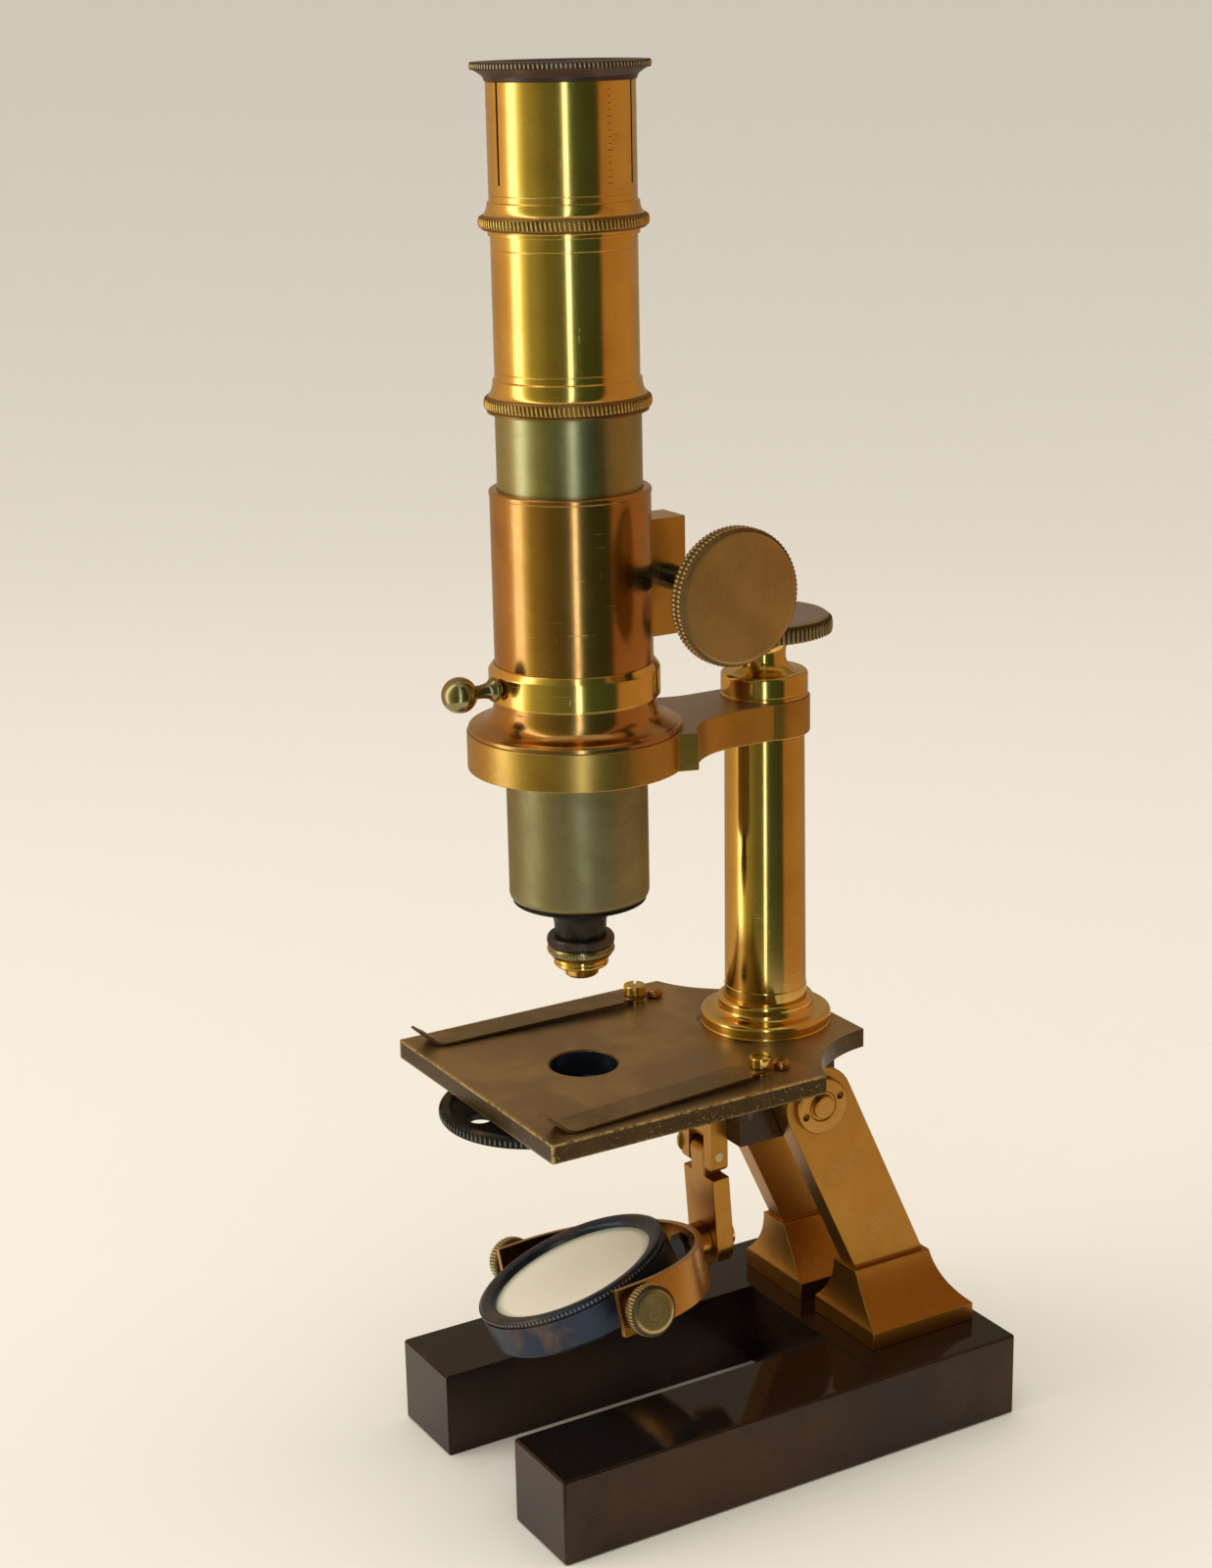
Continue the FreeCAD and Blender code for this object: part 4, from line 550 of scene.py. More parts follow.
def softened(points, closed, soft=0.16, steps=4):
    # each corner becomes a short curve between two guard points, so that edges catch light
    result = []
    for index, point in enumerate(points):
        here = Vector(point[:2])
        size = point[2] if len(point) > 2 else soft
        if size == 0 or (not closed and index in (0, len(points) - 1)):
            result.append(here)
            continue
        before = Vector(points[index - 1][:2]) - here
        after = Vector(points[(index + 1) % len(points)][:2]) - here
        reach = min(size, before.length * 0.42, after.length * 0.42)
        start = here + before.normalized() * reach
        end = here + after.normalized() * reach
        result.append(here + before.normalized() * min(reach * 1.4, before.length * 0.47))
        for step in range(steps + 1):
            t = step / steps
            result.append(start * (1 - t) ** 2 + here * 2 * t * (1 - t) + end * t * t)
        result.append(here + after.normalized() * min(reach * 1.4, after.length * 0.47))
    return result


def spin(name, points, center, axis=(0, 0, 1), segments=144, turn=None):
    # turns a profile of radius and height about an axis through the centre
    closed = points[0][0] > 1e-6 or points[-1][0] > 1e-6
    form = bmesh.new()
    rings = []
    for radius, height in softened(points, closed):
        count = 1 if radius < 1e-6 else segments
        angles = (2 * math.pi * k / segments for k in range(count))
        rings.append([form.verts.new((radius * math.cos(a), radius * math.sin(a), height)) for a in angles])
    for low, high in zip(rings, rings[1:] + (rings[:1] if closed else [])):
        if len(low) == 1 and len(high) == 1:
            continue
        for k in range(segments):
            corners = [low[k % len(low)], low[(k + 1) % len(low)], high[(k + 1) % len(high)], high[k % len(high)]]
            form.faces.new(list(dict.fromkeys(corners)))
    bmesh.ops.recalc_face_normals(form, faces=form.faces)
    turn = turn or Vector((0, 0, 1)).rotation_difference(Vector(axis)).to_matrix()
    form.transform(Matrix.Translation(Vector(center) * mm) @ turn.to_4x4() @ Matrix.Scale(mm, 4))
    mesh = bpy.data.meshes.new(name)
    form.to_mesh(mesh)
    form.free()
    smooth(mesh)
    return newPiece(name, mesh)


def boxMesh(form, low, high, turn=None, about=(0, 0, 0)):
    made = bmesh.ops.create_cube(form, size=1)["verts"]
    low, high = Vector(low), Vector(high)
    for vert in made:
        vert.co = Vector(low[i] + (high[i] - low[i]) * (vert.co[i] + 0.5) for i in range(3))
        if turn is not None:
            vert.co = turn @ (vert.co - Vector(about)) + Vector(about)
        vert.co *= mm


def carve(piece, boxes, rods=()):
    # boxes are low corner, high corner, turn and the turn's middle; rods are start, end and radius
    form = bmesh.new()
    for box in boxes:
        boxMesh(form, *box)
    for start, end, radius in rods:
        start, end = Vector(start) * mm, Vector(end) * mm
        face = (end - start).to_track_quat("Z", "Y").to_matrix().to_4x4()
        place = Matrix.Translation((start + end) / 2) @ face
        bmesh.ops.create_cone(
            form, cap_ends=True, segments=40, radius1=radius * mm, radius2=radius * mm,
            depth=(end - start).length, matrix=place,
        )
    bmesh.ops.recalc_face_normals(form, faces=form.faces)
    mesh = bpy.data.meshes.new("cutter")
    form.to_mesh(mesh)
    form.free()
    cutter = newPiece("cutter", mesh)
    cut = piece.modifiers.new("cut", "BOOLEAN")
    cut.operation = "DIFFERENCE"
    cut.solver = "EXACT"
    cut.object = cutter
    bake(piece)
    bpy.data.objects.remove(cutter)
    smooth(piece.data)
    return piece


def softCopy(name, node, width=0.22, segments=3):
    # the node's own solid with its facets merged and its hard edges rounded
    mesh = frame["nodes"][node].data.copy()
    form = bmesh.new()
    form.from_mesh(mesh)
    bmesh.ops.remove_doubles(form, verts=form.verts, dist=2e-6)
    bmesh.ops.dissolve_limit(form, angle_limit=math.radians(0.4), verts=form.verts, edges=form.edges)
    form.to_mesh(mesh)
    form.free()
    piece = newPiece(name, mesh)
    smooth(mesh)
    if width:
        rounded = piece.modifiers.new("rounded", "BEVEL")
        rounded.width = width * mm
        rounded.segments = segments
        rounded.limit_method = "ANGLE"
        rounded.angle_limit = math.radians(38)
        rounded.use_clamp_overlap = True
        even = piece.modifiers.new("even", "WEIGHTED_NORMAL")
        even.keep_sharp = True
    return bake(piece)


def joined(name, pieces):
    form = bmesh.new()
    for piece in pieces:
        form.from_mesh(piece.data)
        bpy.data.objects.remove(piece)
    mesh = bpy.data.meshes.new(name)
    form.to_mesh(mesh)
    form.free()
    smooth(mesh)
    return newPiece(name, mesh)


# geometry nodes

class Tree:
    # a geometry node tree with named inputs
    def __init__(self, name, inputs):
        self.group = bpy.data.node_groups.new(name, "GeometryNodeTree")
        self.sockets = {}
        face = self.group.interface
        for label, kind in [("Geometry", "NodeSocketGeometry"), *inputs]:
            self.sockets[label] = face.new_socket(label, in_out="INPUT", socket_type=kind).identifier
        face.new_socket("Geometry", in_out="OUTPUT", socket_type="NodeSocketGeometry")
        self.inputs = self.group.nodes.new("NodeGroupInput").outputs

    def node(self, kind, settings=None, inputs=None):
        made = self.group.nodes.new(kind)
        for key, value in (settings or {}).items():
            setattr(made, key, value)
        for key, value in (inputs or {}).items():
            for link in value if isinstance(value, list) else [value]:
                if isinstance(link, bpy.types.NodeSocket):
                    self.group.links.new(link, made.inputs[key])
                else:
                    made.inputs[key].default_value = link
        return made.outputs

    def close(self, geometry, material):
        real = self.node("GeometryNodeRealizeInstances", None, {"Geometry": geometry})[0]
        painted = self.node("GeometryNodeSetMaterial", None, {"Geometry": real, "Material": material})[0]
        end = self.group.nodes.new("NodeGroupOutput")
        self.group.links.new(painted, end.inputs[0])

    def use(self, piece, values):
        made = piece.modifiers.new(self.group.name, "NODES")
        made.node_group = self.group
        for label, value in values.items():
            made[self.sockets[label]] = value


def makeKnurlTree():
    # rounded ribs stand round a ring; lean twists each rib, and place and turn carry the ring to its piece
    tree = Tree("knurl ring", [
        ("Radius", "NodeSocketFloat"), ("Count", "NodeSocketInt"), ("Rib Size", "NodeSocketVector"),
        ("Lean", "NodeSocketFloat"), ("Turn", "NodeSocketRotation"), ("Place", "NodeSocketVector"),
        ("Material", "NodeSocketMaterial"),
    ])
    given = tree.inputs
    ring = tree.node("GeometryNodeMeshCircle", None, {"Vertices": given["Count"], "Radius": given["Radius"]})[0]
    rib = tree.node("GeometryNodeMeshUVSphere", None, {"Segments": 6, "Rings": 5, "Radius": 1.0})[0]
    rib = tree.node("GeometryNodeTransform", None, {"Geometry": rib, "Scale": given["Rib Size"]})[0]
    outward = tree.node("FunctionNodeAlignRotationToVector", {"axis": "X"}, {
        "Vector": tree.node("GeometryNodeInputPosition")[0],
    })[0]
    twist = tree.node("FunctionNodeAxisAngleToRotation", None, {"Axis": (1, 0, 0), "Angle": given["Lean"]})[0]
    facing = tree.node("FunctionNodeRotateRotation", {"rotation_space": "LOCAL"}, {"Rotation": outward, "Rotate By": twist})[0]
    ribs = tree.node("GeometryNodeInstanceOnPoints", None, {"Points": ring, "Instance": rib, "Rotation": facing})[0]
    ribs = tree.node("GeometryNodeRealizeInstances", None, {"Geometry": ribs})[0]
    ribs = tree.node("GeometryNodeSetShadeSmooth", None, {"Geometry": ribs})[0]
    ribs = tree.node("GeometryNodeTransform", None, {
        "Geometry": ribs, "Translation": given["Place"], "Rotation": given["Turn"],
    })[0]
    both = tree.node("GeometryNodeJoinGeometry", None, {"Geometry": [ribs, given["Geometry"]]})[0]
    tree.close(both, given["Material"])
    return tree


def makeTickTree():
    # engraved marks stand in a column up a tube at one even step, every fifth one longer
    tree = Tree("engraved scale", [
        ("Radius", "NodeSocketFloat"), ("Bottom", "NodeSocketFloat"), ("Step", "NodeSocketFloat"),
        ("Count", "NodeSocketInt"), ("Mark Size", "NodeSocketVector"), ("Angle", "NodeSocketFloat"),
        ("Place", "NodeSocketVector"), ("Material", "NodeSocketMaterial"),
    ])
    given = tree.inputs
    start = tree.node("ShaderNodeCombineXYZ", None, {"X": given["Radius"], "Z": given["Bottom"]})[0]
    rise = tree.node("ShaderNodeCombineXYZ", None, {"Z": given["Step"]})[0]
    line = tree.node("GeometryNodeMeshLine", None, {"Count": given["Count"], "Start Location": start, "Offset": rise})[0]
    index = tree.node("GeometryNodeInputIndex")[0]
    fifth = tree.node("FunctionNodeCompare", {"data_type": "INT", "operation": "EQUAL"}, {
        2: tree.node("FunctionNodeIntegerMath", {"operation": "MODULO"}, {0: index, 1: 5})[0],
        3: 0,
    })[0]
    width = tree.node("GeometryNodeSwitch", {"input_type": "FLOAT"}, {"Switch": fifth, "False": 1.0, "True": 1.8})[0]
    scale = tree.node("ShaderNodeCombineXYZ", None, {"X": 1.0, "Y": width, "Z": 1.0})[0]
    mark = tree.node("GeometryNodeMeshCube", None, {"Size": given["Mark Size"]})[0]
    marks = tree.node("GeometryNodeInstanceOnPoints", None, {"Points": line, "Instance": mark, "Scale": scale})[0]
    spun = tree.node("ShaderNodeCombineXYZ", None, {"Z": given["Angle"]})[0]
    turn = tree.node("FunctionNodeEulerToRotation", None, {0: spun})[0]
    marks = tree.node("GeometryNodeTransform", None, {
        "Geometry": marks, "Translation": given["Place"], "Rotation": turn,
    })[0]
    both = tree.node("GeometryNodeJoinGeometry", None, {"Geometry": [marks, given["Geometry"]]})[0]
    tree.close(both, given["Material"])
    return tree


def makeScrewTree():
    # slotted screw heads stand on the points of the piece they are given
    tree = Tree("slotted screws", [
        ("Radius", "NodeSocketFloat"), ("Height", "NodeSocketFloat"), ("Slot", "NodeSocketFloat"),
        ("Turn", "NodeSocketRotation"), ("Seed", "NodeSocketInt"), ("Material", "NodeSocketMaterial"),
    ])
    given = tree.inputs
    head = tree.node("GeometryNodeMeshCylinder", None, {
        "Vertices": 40, "Radius": given["Radius"], "Depth": given["Height"],
    })[0]
    long = tree.node("ShaderNodeMath", {"operation": "MULTIPLY"}, {0: given["Radius"], 1: 3.0})[0]
    size = tree.node("ShaderNodeCombineXYZ", None, {"X": long, "Y": given["Slot"], "Z": given["Height"]})[0]
    raised = tree.node("ShaderNodeMath", {"operation": "MULTIPLY"}, {0: given["Height"], 1: 0.6})[0]
    lift = tree.node("ShaderNodeCombineXYZ", None, {"Z": raised})[0]
    slot = tree.node("GeometryNodeMeshCube", None, {"Size": size})[0]
    slot = tree.node("GeometryNodeTransform", None, {"Geometry": slot, "Translation": lift})[0]
    head = tree.node("GeometryNodeMeshBoolean", {"operation": "DIFFERENCE"}, {"Mesh 1": head, "Mesh 2": slot})[0]
    points = tree.node("GeometryNodeMeshToPoints", None, {"Mesh": given["Geometry"]})[0]
    angle = tree.node("FunctionNodeRandomValue", {"data_type": "FLOAT"}, {2: 0.0, 3: math.pi, "Seed": given["Seed"]})[1]
    spun = tree.node("ShaderNodeCombineXYZ", None, {"Z": angle})[0]
    local = tree.node("FunctionNodeEulerToRotation", None, {0: spun})[0]
    facing = tree.node("FunctionNodeRotateRotation", {"rotation_space": "LOCAL"}, {
        "Rotation": given["Turn"], "Rotate By": local,
    })[0]
    heads = tree.node("GeometryNodeInstanceOnPoints", None, {"Points": points, "Instance": head, "Rotation": facing})[0]
    tree.close(heads, given["Material"])
    return tree


knurlTree = makeKnurlTree()
tickTree = makeTickTree()
screwTree = makeScrewTree()
print("node trees ready")


def knurl(piece, material, radius, count, rib, place, axis=(0, 0, 1), lean=0.0, turn=None):
    # rib is outward, sideways and lengthwise half sizes in millimetres
    turn = turn or Vector((0, 0, 1)).rotation_difference(Vector(axis)).to_matrix()
    knurlTree.use(piece, {
        "Radius": radius * mm, "Count": count, "Rib Size": tuple(value * mm for value in rib),
        "Lean": math.radians(lean), "Turn": tuple(turn.to_euler()), "Place": tuple(Vector(place) * mm),
        "Material": material,
    })


def screwHeads(name, material, places, radius, height, slot, axis, seed):
    mesh = bpy.data.meshes.new(name)
    mesh.from_pydata([Vector(place) * mm for place in places], [], [])
    piece = newPiece(name, mesh)
    turn = Vector((0, 0, 1)).rotation_difference(Vector(axis)).to_matrix()
    screwTree.use(piece, {
        "Radius": radius * mm, "Height": height * mm, "Slot": slot * mm,
        "Turn": tuple(turn.to_euler()), "Seed": seed, "Material": material,
    })
    bake(piece)
    smooth(piece.data)
    return piece


def stand(piece, material, *nodes):
    # the piece takes the place of frame nodes and moves with their body
    if material is not None:
        piece.data.materials.clear()
        piece.data.materials.append(material)
    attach(piece, bodyOf[nodes[0]])
    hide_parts(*nodes)
    return piece


def also(piece, material, node):
    # a piece that stands beside a node and moves with it, and hides nothing
    if material is not None:
        piece.data.materials.clear()
        piece.data.materials.append(material)
    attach(piece, bodyOf[node])
    return piece


# shared finishes
gold = makeBrass("gold lacquer", brassLooks["goldLacquer"])
copper = makeBrass("copper lacquer", brassLooks["copperLacquer"])
drawn = makeBrass("drawn brass", brassLooks["drawnBrass"])
old = makeBrass("old brass", brassLooks["oldBrass"])
satin = makeBrass("satin brass", brassLooks["satinBrass"])
sootBlack = makeBlackened("soot black", blackenedLooks["sootBlack"], amount=0.5)
blued = makeSteel("blued steel", steelLooks["blued"])
screwSteel = makeSteel("screw steel", steelLooks["screw"])
glass = makeLensGlass("lens glass")
print("finishes ready")


# foot and uprights

def makeFoot():
    low, high = (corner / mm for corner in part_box("horseshoe_foot"))
    japan = makeJapan("black lacquer", low, high)
    stand(softCopy("horseshoeFoot", "horseshoe_foot", 0.3), japan, "horseshoe_foot")
    stand(softCopy("hingeBlock", "hinge_block", 0.35), japan, "hinge_block")
    stand(softCopy("footScrews", "upright_screws", 0), screwSteel, "upright_screws")


uprightSizes = {"soft": 0.3, "spannerHole": 1.0, "spannerReach": 5.2, "hub": 2.9, "hubRise": 0.8, "capRise": 1.5}


def makeUprights():
    for side, node in ((1, "right_upright"), (-1, "left_upright")):
        stand(softCopy("upright" + "LR"[side > 0], node, uprightSizes["soft"]), satin, node)
    caps = Place("trunnion_caps")
    size = uprightSizes
    made = []
    outer = caps.x1 - size["hubRise"] - size["capRise"]
    capRadius = (caps.z1 - caps.z0) / 2
    for side in (1, -1):
        center = (side * outer, caps.middle.y, caps.middle.z)
        profile = [
            (0, -6.2), (5.35, -6.2), (5.35, 0), (capRadius, 0), (capRadius, size["capRise"], 0.5),
            (size["hub"] + 0.9, size["capRise"], 0.1), (size["hub"] + 0.7, size["capRise"] - 0.35),
            (size["hub"], size["capRise"] - 0.35), (size["hub"], size["capRise"] + size["hubRise"], 0.35),
            (0, size["capRise"] + size["hubRise"]),
        ]
        cap = spin("cap", profile, center, (side, 0, 0), 96)
        holes = []
        for sign in (1, -1):
            y = caps.middle.y + sign * size["spannerReach"] * math.cos(math.radians(20))
            z = caps.middle.z + sign * size["spannerReach"] * math.sin(math.radians(20))
            near, far = side * (outer + 0.4), side * (outer + 4)
            holes.append(((near, y, z), (far, y, z), size["spannerHole"]))
        made.append(carve(cap, [], holes))
    face = makeFaceBrushed("trunnion brass", brassLooks["satinBrass"], caps.middle, (1, 0, 0), 0.26)
    stand(joined("trunnionCaps", made), face, "trunnion_caps")
    stand(softCopy("trunnionAxle", "trunnion_axle", 0), blued, "trunnion_axle")


# stage

def stageEdges(stage):
    # the rim of the plate has been rubbed bright, most of all at its corners
    def mask(shader):
        x, y, z = shader.split(shader.coordinates())
        width = bronzeLook["edgeWidth"]
        sides = (abs(x) - (stage.x1 - width)).fade(-0.5, 0.6)
        front = ((stage.y0 + width) - y).fade(-0.5, 0.6)
        top = (z - (stage.z1 - 0.6)).fade(-0.2, 0.4)
        under = ((stage.z0 + 0.5) - z).fade(-0.2, 0.4)
        corner = (sides * front).least(1.0)
        rim = (sides.most(front)) * (top.most(under * 0.4)) * 0.75
        return rim.most(corner)
    return mask


stageSizes = {"holeRadius": 8.0, "wall": 0.12, "flange": 0.9, "drop": 1.6, "bevel": 0.45}


def makeStage():
    stage = Place("stage_plate")
    # the 5.0 paints light onto the plate's upward faces
    bronze = makeBronze("bronzed plate", stageEdges(stage), 0.28, 0.8, 5.0)
    plate = softCopy("stagePlate", "stage_plate", 0.22)
    stand(plate, bronze, "stage_plate")
    # the black sleeve that lines the hole and comes down close to the disc
    sleeve = stageSizes
    r, low, high = sleeve["holeRadius"], stage.z0 - sleeve["drop"], stage.z1 - sleeve["bevel"]
    thin, wide = r - sleeve["wall"], r + sleeve["flange"]
    profile = [
        (thin, high, 0.03), (r + 0.04, high, 0.03), (r + 0.04, stage.z0, 0), (wide, stage.z0, 0), (wide, low, 0.1), (thin, low, 0.1),
    ]
    lining = makeBlackened("sleeve black", blackenedLooks["blueBlack"], amount=0.3)
    around = Place("body_tube").above()
    liner = spin("stageSleeve", profile, around)
    also(liner, lining, "stage_plate")
    stand(softCopy("hingeScrews", "hinge_block_screws", 0), screwSteel, "hinge_block_screws")
    # the 1.75 paints light onto the clips' upward faces
    clipBronze = makeBronze("clip bronze", None, 0.5, 1.5, 1.75)
    for side, node in (("R", "right_stage_clip"), ("L", "left_stage_clip")):
        clip = softCopy("stageClip" + side, node, 0.12, 2)
        stand(clip, clipBronze, node)
    posts = Place("clip_posts")
    pins = Place("clip_pins")
    reach = posts.x1 - 2.7
    postHeads, pinHeads = [], []
    for side in (1, -1):
        head = posts.z1 - stage.z1
        profile = [
            (0, -2.6), (1.3, -2.6), (1.3, 0), (2.1, 0), (2.1, 1.05), (1.3, 1.05), (1.3, 1.95),
            (2.7, 1.95), (2.7, head, 0.45), (0, head),
        ]
        post = spin("post", profile, (side * reach, posts.middle.y, stage.z1), segments=64)
        low, high = (-3, -0.3, head - 0.9), (3, 0.3, head + 1)
        center = Vector((side * reach, posts.middle.y, stage.z1))
        turn = Matrix.Rotation(math.radians(35 * side), 3, "Z")
        postHeads.append(carve(post, [(center + Vector(low), center + Vector(high), turn, center)]))
        rise = pins.z1 - stage.z1
        profile = [(0, -2.6), (0.9, -2.6), (0.9, 0), (1.7, 0), (2.1, 0.5), (2.1, rise - 0.7, 0.4), (1.4, rise, 0.5), (0, rise)]
        pinHeads.append(spin("pin", profile, (side * (pins.x1 - 2.1), pins.middle.y, stage.z1), segments=64))
    stand(joined("clipPosts", postHeads), gold, "clip_posts")
    pinkish = makeBrass("clip pin copper", brassLooks["copperLacquer"], roughness=0.24)
    stand(joined("clipPins", pinHeads), pinkish, "clip_pins")


discSizes = {"serrations": 110, "rib": (0.42, 0.34, 1.12)}


def makeDiaphragm():
    disc = Place("diaphragm_disc")
    tips = ribTips(disc.middle, (0, 0, 1), disc.radius)
    black = makeBlackened("disc black", blackenedLooks["sootBlack"], amount=0.75, tips=tips)
    piece = softCopy("diaphragmDisc", "diaphragm_disc", 0.12, 2)
    piece.data.materials.append(black)
    rib = discSizes["rib"]
    shrink = disc.radius - rib[0]
    for vert in piece.data.vertices:
        # the rim is drawn in, so that its teeth stand out
        arm = Vector((vert.co.x, vert.co.y, 0)) / mm - Vector((disc.middle.x, disc.middle.y, 0))
        if arm.length > shrink:
            vert.co -= arm.normalized() * (arm.length - shrink + 0.02) * mm
    knurl(piece, black, shrink, discSizes["serrations"], rib, disc.middle)
    bake(piece)
    stand(piece, black, "diaphragm_disc")
    stand(softCopy("diaphragmScrew", "diaphragm_pivot_screw", 0.1, 2), old, "diaphragm_pivot_screw")


# pillar

pillarSizes = {"step": 11.5, "neck": 5.0, "knobRibs": 84, "knobRib": (0.34, 0.46, 2.0)}


def makePillar():
    size = pillarSizes
    flange = Place("pillar_base_flange")
    axis = flange.above
    r, z0, z1 = flange.radius, flange.z0, flange.z1
    profile = [
        (4, z0), (r, z0), (r, z0 + 0.5, 0.2), (r - 0.25, z0 + 0.7, 0.1), (r, z0 + 1.0, 0.2), (r, z0 + 3.0, 0.7),
        (r - 1.0, z0 + 3.6, 0.5), *curveTo((size["step"] + 1.6, z0 + 3.6), (size["step"], z0 + 3.7), (size["step"], z0 + 5.0), 7),
        (size["step"], z1 - 0.6, 0.3), (size["step"] - 0.5, z1, 0.3), (9.95, z1, 0.1), (9.95, z0 + 1.6), (4, z0 + 1.6),
    ]
    stand(spin("pillarFlange", profile, axis(), segments=192), gold, "pillar_base_flange")
    tube = Place("pillar_tube")
    arm = Place("arm")
    profile = [
        (8.2, tube.z0), (9.9, tube.z0, 0.1), (9.9, tube.z0 + 6.0, 0.05), (9.75, tube.z0 + 6.2, 0.05),
        (9.42, arm.z0 - 0.4, 0), (9.4, arm.z0, 0), (9.4, tube.z1, 0.1), (8.2, tube.z1, 0.1),
    ]
    warm = makeBrass("pillar lacquer", brassLooks["goldLacquer"], tint=0.92)
    stand(spin("pillarTube", profile, axis(), segments=192), warm, "pillar_tube")
    cap = Place("pillar_cap")
    z, top, neck = arm.z1, cap.z1, size["neck"]
    profile = [
        (2.1, cap.z0), (8.2, cap.z0), (8.2, z, 0), (cap.radius, z), (cap.radius, z + 0.7, 0.1), (cap.radius - 0.3, z + 0.95, 0.08),
        (cap.radius, z + 1.2, 0.1), (cap.radius, z + 5.4, 0.4), (cap.radius - 0.6, z + 6.0, 0.3), (neck + 3.4, z + 6.0, 0.2),
        *curveTo((neck + 3.2, z + 6.1), (neck, z + 6.6), (neck, z + 9.8), 9),
        *curveTo((neck, z + 9.9), (neck, z + 12), (neck + 1.4, top), 7), (2.1, top),
    ]
    stand(spin("pillarCap", profile, axis()), warm, "pillar_cap")
    knob = Place("fine_focus_knob")
    r, low, high = knob.radius, knob.z0, knob.z1
    profile = [
        (2.0, low), (7.6, low), (r - 2.2, low + 0.6, 0.3), (r - 0.9, low + 1.2, 0.4), (r - 0.42, low + 1.9, 0.4),
        (r - 0.42, high - 1.0, 0.5), (r - 1.5, high, 0.4), (0, high),
    ]
    piece = spin("fineKnob", profile, axis())
    grime = betweenRibs(knob.middle, (0, 0, 1), r)
    # the 0.85 gives the knob's upward faces painted sheen
    face = makeFaceBrushed("fine knob face", brassLooks["oldBrass"], knob.middle, (0, 0, 1), 0.3, True, 1.1, grime, 0.85)
    piece.data.materials.append(face)
    rib = size["knobRib"]
    knurl(piece, face, r - rib[0] - 0.02, size["knobRibs"], (rib[0], rib[1], 1.75), axis((low + high) / 2 + 0.1))
    bake(piece)
    stand(piece, face, "fine_focus_knob")
    for name, node in (("guideBar", "guide_bar"), ("fineScrew", "fine_focus_screw"), ("guideBushings", "guide_bushings")):
        stand(softCopy(name, node, 0), blued, node)


# arm, jacket and collar

def makeArm():
    arm = Place("arm")
    tube = Place("body_tube")
    # pale=0.8 gives the arm's upward faces painted sheen
    sideBrass = makeBrass("arm brass", brassLooks["armBrass"], pale=0.8)
    piece = softCopy("arm", "arm", 0.25)
    stand(piece, sideBrass, "arm")
    flange = Place("jacket_flange")
    jacket = Place("jacket")
    z0, z1, r = flange.z0, flange.z1, flange.radius
    inner = jacket.radius - 0.15
    profile = [
        (inner, z0), (r, z0, 0.15), (r, z0 + 0.9, 0.2), (r - 0.55, z0 + 1.15, 0.12), (r - 0.8, z0 + 1.1, 0.1),
        *curveTo((r - 1.1, z0 + 1.35), (inner + 1.0, z0 + 2.2), (inner + 0.5, z1 - 1.5), 12),
        (inner + 0.36, z1 - 1.0, 0.1), (inner + 0.36, z1, 0.1), (inner, z1),
    ]
    center = tube.above()
    slotHalf, slotDeep = 2.3, 19.7
    slot = [(-slotHalf, center.y, 100), (slotHalf, center.y + slotDeep, 400)]
    stand(carve(spin("jacketFlange", profile, center, segments=192), [slot]), copper, "jacket_flange")
    profile = [
        (16.05, jacket.z0), (inner, jacket.z0), (inner, jacket.z1 - 1.35, 0.1), (inner + 0.15, jacket.z1 - 1.2, 0.1),
        (inner + 0.15, jacket.z1 - 0.35, 0.2), (inner - 0.3, jacket.z1, 0.2), (16.05, jacket.z1, 0.2),
    ]
    stand(carve(spin("jacket", profile, center, segments=192), [slot]), copper, "jacket")
    collar = Place("clamp_collar")
    r, z0, z1 = collar.radius, collar.z0, collar.z1
    profile = [
        (inner, z0), (r - 0.45, z0), (r - 0.45, z0 + 0.45), (r, z0 + 0.45, 0.15), (r, z1 - 1.5, 0.25),
        (inner + 0.35, z1, 0.3), (inner, z1),
    ]
    gap = [(-3, center.y, z0 - 1), (3, center.y + r + 1, z1 + 1)]
    stand(carve(spin("clampCollar", profile, center, segments=192), [gap]), gold, "clamp_collar")
    screw = Place("ball_clamp_screw")
    middle = Vector((0, center.y, screw.middle.z))
    reach = center.y - screw.y0
    profile = [(0, inner + 0.2), (1.45, inner + 0.2), (1.45, r + 0.3)]
    profile += curveTo((1.6, r + 0.3), (3.6, r + 0.9), (2.2, r + 2.2), 9)
    profile += curveTo((2.0, r + 2.5), (1.4, r + 3.6), (1.5, reach - 7.4), 7)
    profile += [(4 * math.sin(a), reach - 4 - 4 * math.cos(a), 0) for a in (0.42 + 2.7216 * k / 15 for k in range(15))]
    profile += [(0, reach)]
    dull = makeBrass("ball screw brass", brassLooks["oldBrass"], tint=0.72)
    stand(spin("ballScrew", profile, middle, (0, -1, 0), 64), dull, "ball_clamp_screw")


# coarse drive

driveSizes = {"ribs": 92, "rib": (0.40, 0.44, 1.35), "shaft": 2.8}


